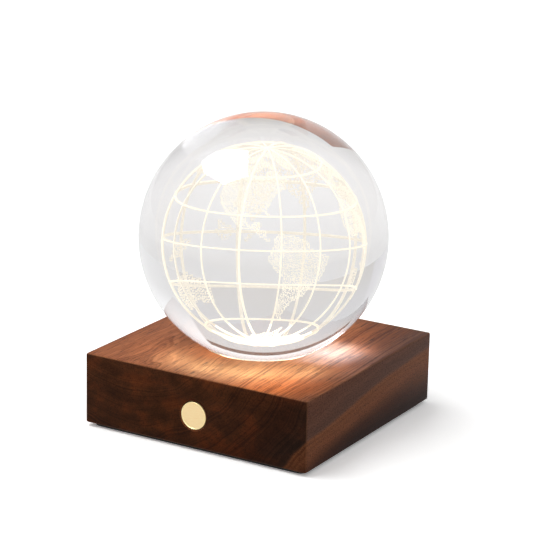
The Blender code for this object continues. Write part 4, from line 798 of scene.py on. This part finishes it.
def graticule_tree():
    """Meridian rings turned round the globe's axis, and one ring for each parallel."""
    tree, add, sizes = geometry_tree("graticule", ["Globe Radius", "Line Width"])
    globe, width = sizes["Globe Radius"], sizes["Line Width"]
    circle = {"Resolution": LINE_STEPS, "Radius": globe}
    ring = add("GeometryNodeCurvePrimitiveCircle", circle)
    on_edge = {"Geometry": ring, "Rotation": (pi / 2, 0, 0)}
    upright = add("GeometryNodeTransform", on_edge)
    axis = add("GeometryNodeMeshLine", {"Count": MERIDIAN_RINGS, "Offset": (0, 0, 0)})
    number = add("GeometryNodeInputIndex")
    turn = add("Math", (number, pi / MERIDIAN_RINGS), "MULTIPLY")
    fan = {"Points": axis, "Instance": upright, "Rotation": add("CombineXYZ", {"Z": turn})}
    rings = [add("GeometryNodeInstanceOnPoints", fan)]
    for latitude in PARALLELS:
        angle = radians(latitude)
        radius = add("Math", (globe, cos(angle)), "MULTIPLY")
        height = add("Math", (globe, sin(angle)), "MULTIPLY")
        circle = {"Resolution": LINE_STEPS, "Radius": radius}
        ring = add("GeometryNodeCurvePrimitiveCircle", circle)
        lifted = {"Geometry": ring, "Translation": add("CombineXYZ", {"Z": height})}
        rings.append(add("GeometryNodeTransform", lifted))
    joined = add("GeometryNodeJoinGeometry", {"Geometry": rings})
    square = {"Width": width, "Height": width}
    section = add("GeometryNodeCurvePrimitiveQuadrilateral", square)
    real = add("GeometryNodeRealizeInstances", {"Geometry": joined})
    as_marks(add, add("GeometryNodeCurveToMesh", {"Curve": real, "Profile Curve": section}))
    return tree


def grown(name, mesh, tree, sizes):
    """A plain mesh grown by a tree from a seed mesh."""
    seed = new_object(name + "_seed", mesh)
    modifier = seed.modifiers.new("grow", "NODES")
    modifier.node_group = tree
    for item in tree.interface.items_tree:
        if item.in_out == "INPUT" and item.name in sizes:
            modifier[item.identifier] = sizes[item.name]
    mesh = plain_mesh(seed)
    bpy.data.objects.remove(seed)
    return new_object(name, mesh)


def ball_solid():
    form = bmesh.new()
    bmesh.ops.create_icosphere(form, subdivisions=BALL_SUBDIVISIONS, radius=BALL_RADIUS)
    form.transform(Matrix.Translation(BALL_CENTRE))
    return shade(object_from("crystal_ball_fine", form))


# Coasts as (longitude, latitude) in degrees, drawn coarsely
COASTS = {
    "South America": [
        (-77, 8), (-72, 12), (-62, 10), (-52, 5), (-50, 0), (-44, -3), (-35, -6), (-37, -12),
        (-39, -18), (-41, -22), (-48, -26), (-49, -29), (-53, -34), (-58, -36), (-62, -39),
        (-65, -43), (-67, -47), (-69, -52), (-68, -55), (-72, -53), (-75, -49), (-74, -42),
        (-73, -37), (-71, -30), (-70, -19), (-76, -14), (-81, -6), (-80, -2), (-77, 3),
    ],
    "North America": [
        (-168, 66), (-157, 71), (-141, 70), (-128, 70), (-108, 68), (-96, 68), (-95, 72), (-82, 68),
        (-86, 64), (-94, 60), (-93, 57), (-83, 55), (-80, 51), (-78, 55), (-77, 62), (-70, 61),
        (-64, 59), (-56, 52), (-65, 49), (-61, 46), (-67, 44), (-71, 42), (-75, 38), (-81, 31),
        (-80, 26), (-83, 29), (-90, 29), (-97, 27), (-97, 22), (-94, 18), (-90, 21), (-87, 21),
        (-88, 16), (-83, 15), (-83, 10), (-79, 9), (-80, 7), (-85, 10), (-88, 13), (-94, 16),
        (-100, 17), (-105, 20), (-109, 25), (-112, 30), (-110, 23), (-115, 29), (-120, 34),
        (-124, 40), (-124, 48), (-130, 54), (-137, 59), (-149, 61), (-158, 57), (-164, 55),
        (-158, 59), (-165, 62), (-161, 65),
    ],
    "Greenland": [
        (-73, 78), (-60, 82), (-35, 84), (-20, 81), (-20, 75), (-26, 70), (-40, 65), (-44, 60),
        (-51, 64), (-54, 70), (-60, 76),
    ],
    "Arctic islands": [
        (-125, 74), (-118, 76), (-95, 80), (-80, 83), (-65, 82), (-78, 77), (-82, 73), (-70, 70),
        (-62, 66), (-68, 63), (-78, 66), (-88, 71), (-100, 70), (-115, 71),
    ],
    "Africa": [
        (-6, 35), (10, 37), (11, 33), (20, 31), (32, 31), (36, 23), (43, 12), (51, 12), (42, -2),
        (39, -7), (40, -15), (35, -20), (32, -28), (26, -34), (18, -34), (12, -18), (13, -8),
        (9, -1), (9, 4), (4, 6), (-8, 4), (-13, 8), (-17, 14), (-17, 21), (-10, 30),
    ],
    "Eurasia": [
        (-9, 37), (-9, 43), (-2, 43), (-4, 48), (3, 51), (8, 54), (10, 57), (5, 60), (10, 64),
        (20, 70), (28, 71), (41, 67), (34, 64), (44, 66), (55, 69), (68, 69), (72, 73), (87, 75),
        (104, 78), (113, 74), (130, 71), (160, 70), (180, 69), (190, 66), (180, 62), (165, 60),
        (162, 56), (156, 51), (156, 58), (143, 59), (135, 54), (141, 52), (131, 43), (127, 39),
        (129, 35), (126, 35), (125, 40), (118, 39), (122, 37), (119, 35), (122, 30), (117, 24),
        (108, 21), (109, 12), (105, 9), (100, 13), (103, 2), (98, 8), (94, 17), (88, 22), (80, 15),
        (77, 8), (73, 17), (67, 25), (57, 25), (50, 30), (51, 25), (56, 25), (59, 22), (52, 16),
        (43, 13), (35, 28), (34, 31), (36, 36), (27, 37), (26, 40), (41, 42), (37, 46), (30, 46),
        (28, 41), (23, 37), (20, 40), (13, 45), (18, 40), (16, 38), (9, 44), (3, 43), (0, 39),
        (-5, 36),
    ],
    "Britain": [(-5, 50), (1, 51), (0, 54), (-3, 58), (-6, 57), (-4, 54)],
    "Japan": [(130, 32), (136, 34), (141, 36), (142, 43), (145, 44), (140, 42), (136, 37)],
    "Madagascar": [(44, -25), (47, -25), (50, -15), (44, -17)],
    "Australia": [
        (124, -23), (130, -20), (135, -18), (140, -15), (140, -18), (144, -19), (144, -15),
        (147, -21), (152, -26), (150, -34), (147, -36), (141, -33), (136, -30), (131, -31),
        (124, -32),
    ],
    "New Guinea": [(131, -1), (141, -3), (150, -10), (141, -9), (133, -4)],
    "Borneo": [(109, 1), (117, 6), (118, 1), (114, -4)],
    "Sumatra": [(95, 5), (105, -3), (105, -6), (100, 0)],
    "New Zealand": [(173, -35), (178, -38), (172, -44), (167, -47), (173, -40)],
    "Antarctica": [
        (-180, -78), (-150, -76), (-100, -73), (-75, -72), (-60, -64), (-62, -73), (-40, -78),
        (-10, -71), (40, -68), (90, -66), (140, -66), (170, -72), (180, -78), (180, -91),
        (-180, -91),
    ],
}


def on_land(longitude, latitude):
    """Which of many places lie inside a coast, by counting the coast's crossings north of them."""
    found = np.zeros(longitude.shape, bool)
    for coast in COASTS.values():
        for east in (longitude, longitude + 360):
            inside = np.zeros(longitude.shape, bool)
            for (x1, y1), (x2, y2) in zip(coast, [*coast[1:], coast[0]]):
                if x1 != x2:
                    spans = (x1 > east) != (x2 > east)
                    inside ^= spans & (latitude < y1 + (east - x1) * (y2 - y1) / (x2 - x1))
            found |= inside
    return found


def land_mesh():
    """The globe's land as square cells of a degree or two, so that its coasts are stepped."""
    columns = round(360 / LAND_CELL)
    rows = round(180 / LAND_CELL)
    verts = []
    for row in range(rows + 1):
        latitude = row * LAND_CELL - 90
        latitude = radians(min(max(latitude, -POLE_LATITUDE), POLE_LATITUDE))
        level, height = GLOBE_RADIUS * cos(latitude), GLOBE_RADIUS * sin(latitude)
        for column in range(columns):
            longitude = radians(column * LAND_CELL - 180)
            verts.append((level * cos(longitude), level * sin(longitude), height))
    longitudes = (np.arange(columns) + 0.5) * LAND_CELL - 180
    latitudes = (np.arange(rows) + 0.5) * LAND_CELL - 90
    faces = []
    for row, column in np.argwhere(on_land(*np.meshgrid(longitudes, latitudes))).tolist():
        below, above = row * columns, (row + 1) * columns
        after = (column + 1) % columns
        faces.append((below + column, below + after, above + after, above + column))
    mesh = bpy.data.meshes.new("land")
    mesh.from_pydata(verts, [], faces)
    form = bmesh.new()
    form.from_mesh(mesh)
    unused = [vert for vert in form.verts if not vert.link_faces]
    bmesh.ops.delete(form, geom=unused, context="VERTS")
    form.to_mesh(mesh)
    form.free()
    mesh.materials.append(FAINT_MARK)
    return mesh


def land_tree():
    """Dots scattered over the land, and a thin line along each coast."""
    tree, add, sizes = geometry_tree("land marks", ["Dot Radius", "Dot Spacing", "Coast Width"])
    land, width = sizes["Geometry"], sizes["Coast Width"]
    scatter = {"Distance Min": sizes["Dot Spacing"], "Density Max": DOTS_A_SQUARE_METRE}
    points = add(
        "GeometryNodeDistributePointsOnFaces",
        {"Mesh": land, **scatter, "Seed": DOT_SEED},
        distribute_method="POISSON",
    )
    round_dot = {"Segments": 4, "Rings": 2, "Radius": sizes["Dot Radius"]}
    dot = add("GeometryNodeMeshUVSphere", round_dot)
    dots = add("GeometryNodeInstanceOnPoints", {"Points": points, "Instance": dot})
    beside = {2: add("GeometryNodeInputMeshEdgeNeighbors"), 3: 1}
    lone = add("FunctionNodeCompare", beside, "EQUAL", data_type="INT")
    coast = add("GeometryNodeMeshToCurve", {"Mesh": land, "Selection": lone})
    square = {"Width": width, "Height": width}
    section = add("GeometryNodeCurvePrimitiveQuadrilateral", square)
    swept = {"Curve": coast, "Profile Curve": section, "Fill Caps": True}
    lines = add("GeometryNodeCurveToMesh", swept)
    as_marks(add, add("GeometryNodeJoinGeometry", {"Geometry": [dots, lines]}))
    return tree


dress(ball_solid(), "crystal", "crystal", crystal(), "crystal_ball")

line_sizes = {"Globe Radius": GLOBE_RADIUS, "Line Width": LINE_WIDTH}
start = bpy.data.meshes.new("start")
graticule = grown("engraved_graticule", start, graticule_tree(), line_sizes)
graticule.data.transform(GLOBE_PLACE)

mark_sizes = {"Dot Radius": DOT_RADIUS, "Dot Spacing": DOT_SPACING, "Coast Width": COAST_WIDTH}
land = grown("engraved_land", land_mesh(), land_tree(), mark_sizes)
land.data.transform(GLOBE_PLACE @ LAND_TIP @ LAND_TURN)
for marks in (graticule, land):
    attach(marks, "crystal")


# Studio
# A white paper sweep under a soft sky, with one softbox above and to the left and a pale room
# seen in the glass. Small low lamps stand for the light that leaks out under the ball.

# The sky, in degrees clockwise from +Y and above the floor. A height on the wall is half its rise
# over its distance. From the wall's left end onwards the ceiling starts lower, by the dip.
SOFTBOX_CORNERS = ((-91, 42.5), (-83, 51), (-75, 74), (-173, 68), (-147, 52), (-111, 45))
SOFTBOX_LEVEL = 8.0
EDGE_BLUR = 0.004
SKY_LEVEL = 0.5
CEILING_LEVEL = 1.4
CEILING_EDGE = (26, 56)
CEILING_DIP = 14
WALL_AZIMUTH = -33
WALL_AZIMUTHS = (-83, 0)
WALL_TOP = (0.545, 0.530)
WALL_DIM_AZIMUTHS = (-85, -55)
WALL_DIM = 0.84
WALL = [
    (0.00, "E2DEDA"),
    (0.05, "E2DFDB"),
    (0.15, "E2E0E0"),
    (0.35, "E6E5E5"),
    (0.430, "ECEBE8"),
    (0.448, "7A5644"),
    (0.520, "6A4A3A"),
]
ROOM = [(0.0, "DCDADC"), (0.5, "E6E4E2"), (1.0, "F4F4F3")]


def direction(azimuth, elevation):
    """A unit vector from an azimuth, clockwise from +Y, and an elevation, in degrees."""
    turn, rise = radians(azimuth), radians(elevation)
    return Vector((sin(turn) * cos(rise), cos(turn) * cos(rise), sin(rise)))


def grey(level):
    return (level, level, level, 1)


def inside_edges(add, place, corners):
    """1 inside a patch of sky whose corners are given in order, 0 outside it."""
    middle = sum(corners, Vector())
    least = None
    for start, end in zip(corners, [*corners[1:], corners[0]]):
        edge = start.cross(end).normalized()
        if edge.dot(middle) < 0:
            edge = -edge
        depth = add("VectorMath", (place, edge), "DOT_PRODUCT", out=1)
        if least is not None:
            depth = add("Math", (least, depth), "MINIMUM")
        least = depth
    return add("MapRange", (least, -EDGE_BLUR, EDGE_BLUR))


def studio_sky():
    """A dim sky that lights the lamp evenly. In the glass it shows as a room: a wall behind the
    lamp with a brown strip along its top, a bright ceiling and the softbox."""
    world = bpy.data.worlds.new("studio")
    world.use_nodes = True
    world.node_tree.nodes.clear()
    add = partial(new_node, world.node_tree)
    path = add("LightPath", out=None)
    straight, through = path["Is Camera Ray"], path["Is Transmission Ray"]
    place = add("TexCoord")
    parts = add("SeparateXYZ", [place], out=None)
    azimuth = add("Math", (parts["X"], parts["Y"]), "ARCTAN2")
    rise = add("Math", [parts["Z"]], "ARCSINE")

    forward = direction(WALL_AZIMUTH, 0)
    ahead = add("VectorMath", (place, forward), "DOT_PRODUCT", out=1)
    climb = add("Math", (parts["Z"], ahead), "DIVIDE")
    height = add("Math", (climb, 0.5), "MULTIPLY")
    wall = add("ValToRGB", [height], stops=WALL)
    across = add("MapRange", (parts["X"], -1.0, 0.7))
    room = add("ValToRGB", [across], stops=ROOM)
    dimming = add("MapRange", (azimuth, *map(radians, WALL_DIM_AZIMUTHS), WALL_DIM))
    dimmed_wall = add("VectorMath", {0: wall, 3: dimming}, "SCALE")

    left, right = [
        add("MapRange", (azimuth, radians(edge - side), radians(edge + side)))
        for edge, side in zip(WALL_AZIMUTHS, (1, -1))
    ]
    seen_wall = left
    for share in (right, add("MapRange", (height, *WALL_TOP)), through):
        seen_wall = add("Math", (seen_wall, share), "MULTIPLY")

    lifted = add("Math", (left, radians(CEILING_DIP), rise), "MULTIPLY_ADD")
    overhead = add("MapRange", (lifted, *map(radians, CEILING_EDGE)))
    surround = add("Mix", {0: overhead, 6: room, 7: grey(CEILING_LEVEL)}, **BLENDED)
    indoors = add("Mix", {0: seen_wall, 6: surround, 7: dimmed_wall}, **BLENDED)
    backdrop = add("Mix", {0: straight, 6: indoors, 7: grey(1)}, **BLENDED)
    in_glass = add("Math", (path["Is Glossy Ray"], through), "MAXIMUM")
    seen = add("Math", (straight, in_glass), "MAXIMUM")
    colour = add("Mix", {0: seen, 6: grey(SKY_LEVEL), 7: backdrop}, **BLENDED)

    softbox = inside_edges(add, place, [direction(*corner) for corner in SOFTBOX_CORNERS])
    unseen = add("Math", (1.0, straight), "SUBTRACT")
    glow = add("Math", (softbox, unseen), "MULTIPLY")
    level = add("Math", (glow, SOFTBOX_LEVEL, 1.0), "MULTIPLY_ADD")
    sky = add("Background", {"Color": colour, "Strength": level})
    add("OutputWorld", {"Surface": sky}, out=None)
    bpy.context.scene.world = world


# The floor: its half width in m, then its own white in the picture and in mirrors, and the
# white of the paper as it bounces light, as the glass shows it and as the picture shows it
FLOOR_HALF = 6.0
FLOOR_OWN_WHITE = 0.19
FLOOR_MIRRORED_WHITE = 0.41
PAPER_WHITES = (0.35, 0.64, 1.29)
GREYING_SPAN = (0.05, 0.55)
GREYING = [
    (0.0, "000000"),
    (0.05, "6E6C6A"),
    (0.12, "AEABA8"),
    (0.20, "B5B2AE"),
    (0.44, "AAA7A3"),
    (1.0, "96938F"),
]


def studio_floor():
    """White paper. Part of what the camera sees of it is its own steady white, so that it stays
    white to the picture's edge and keeps the lamp's soft shadow. In the glass it greys with
    distance, and it bounces less light than it shows."""
    form = bmesh.new()
    bmesh.ops.create_grid(form, x_segments=8, y_segments=8, size=FLOOR_HALF)
    floor = object_from("floor", form)
    made, add, shader = new_material("white paper sweep")
    made.node_tree.nodes.remove(shader)
    path = add("LightPath", out=None)
    straight, through = path["Is Camera Ray"], path["Is Transmission Ray"]
    mirror = path["Is Glossy Ray"]
    place = add("TexCoord", out=3)
    away = add("VectorMath", [place], "LENGTH", out=1)
    greying = add("ValToRGB", [add("MapRange", (away, *GREYING_SPAN))], stops=GREYING)
    mirrored = add("Math", (mirror, FLOOR_MIRRORED_WHITE), "MULTIPLY")
    unseen = add("Mix", {0: through, 6: mirrored, 7: greying}, **BLENDED)
    white = add("Mix", {0: straight, 6: unseen, 7: grey(FLOOR_OWN_WHITE)}, **BLENDED)
    own = add("Emission", {"Color": white, "Strength": 1.0})

    bounced, in_crystal, in_picture = PAPER_WHITES
    in_glass = add("Math", (mirror, through), "MAXIMUM")
    paper_white = bounced
    for seen, level in ((in_glass, in_crystal), (straight, in_picture)):
        step = (seen, level - bounced, paper_white)
        paper_white = add("Math", step, "MULTIPLY_ADD")
    paper = add("BsdfDiffuse", {"Color": paper_white})
    both = add("AddShader", (own, paper))
    feed(made.node_tree.nodes["Material Output"], [both])
    floor.data.materials.append(made)


# Light that leaks from under the ball and falls on the wood, as a few soft lamps: angle from +X,
# distance out, height, width and depth in degrees and mm, then watts and colour
SPILL = [
    (-130, 40, 42, 18, 20, 0.0006, "FFF0D8"),
    (-113, 34, 42, 18, 20, 0.0064, "BEEAFA"),
    (-92, 34, 42, 18, 20, 0.0094, "B6EAFF"),
    (-72, 33, 42, 18, 20, 0.0118, "B6EAFF"),
    (-56, 31, 42, 18, 20, 0.0176, "B4ECFF"),
    (-33, 34, 42, 18, 18, 0.0128, "A8E4FF"),
    (-49, 49, 52, 28, 20, 0.0072, "FFECB8"),
    (-112, 25, 36, 12, 6, 0.0034, "FFDCA8"),
    (-84, 25, 36, 12, 6, 0.0020, "FFF4DC"),
    (-56, 25, 36, 12, 6, 0.0024, "E8F4FF"),
    (-28, 25, 36, 12, 6, 0.0020, "D8ECFF"),
    (6, 28, 38, 14, 11, 0.1080, "62A4FF"),
    (13, 31, 38, 14, 12, 0.0160, "78B8FF"),
    (12, 37, 40, 18, 14, 0.0034, "88C4FF"),
    (19, 40, 38, 8, 8, 0.0010, "E0E8FF"),
    (-12, 44, 41, 16, 14, 0.0014, "D8EAFF"),
    (110, 48, 44, 26, 20, 0.0064, "FFD480"),
    (124, 48, 42, 20, 16, 0.0014, "FFD070"),
    (88, 37, 42, 20, 18, 0.0042, "ECEAD0"),
    (68, 34, 42, 18, 18, 0.0020, "E0EEE0"),
    (150, 34, 42, 18, 16, 0.0018, "F4ECD0"),
]
SPILL_SPREAD = radians(120)


def spill_lamps(receiver):
    """The lamps light nothing but the wood, and only the wood shades them."""
    only_wood = bpy.data.collections.new("lit by the spill")
    only_wood.objects.link(receiver)
    for number, (turn, out, height, width, depth, watts, colour) in enumerate(SPILL, 1):
        data = bpy.data.lights.new("spill", "AREA")
        data.shape = "ELLIPSE"
        data.size = width * MM
        data.size_y = depth * MM
        data.energy = watts
        data.color = linear(colour)[:3]
        data.spread = SPILL_SPREAD
        lamp = new_object(f"spill_{number}", data)
        angle = radians(turn)
        lamp.location = (out * cos(angle) * MM, out * sin(angle) * MM, height * MM)
        lamp.rotation_euler = (0, 0, angle + pi / 2)
        lamp.visible_camera = False
        lamp.visible_glossy = False
        lamp.visible_transmission = False
        lamp.light_linking.receiver_collection = only_wood
        lamp.light_linking.blocker_collection = only_wood


# The photograph's camera: its lens and sensor in mm, its place in m, and in degrees its azimuth,
# elevation and roll
CAMERA_LENS = 156.68
CAMERA_SENSOR = 36.0
CAMERA_PLACE = (0.4464, -0.7539, 0.3218)
CAMERA_AZIMUTH = -30.54
CAMERA_ELEVATION = -16.54
CAMERA_ROLL = 1.24


def photograph_camera():
    data = bpy.data.cameras.new("camera")
    data.sensor_width = CAMERA_SENSOR
    data.lens = CAMERA_LENS
    yaw, roll = radians(CAMERA_AZIMUTH), radians(CAMERA_ROLL)
    forward = direction(CAMERA_AZIMUTH, CAMERA_ELEVATION)
    level = Vector((cos(yaw), -sin(yaw), 0))
    upward = level.cross(forward)
    across = cos(roll) * level + sin(roll) * upward
    above = -sin(roll) * level + cos(roll) * upward
    turned_to = Matrix((across, above, -forward)).transposed().to_4x4()
    camera = new_object("camera", data)
    camera.matrix_world = Matrix.Translation(CAMERA_PLACE) @ turned_to
    bpy.context.scene.camera = camera


studio_sky()
studio_floor()
spill_lamps(block)
photograph_camera()
bpy.context.scene.view_settings.view_transform = "Standard"
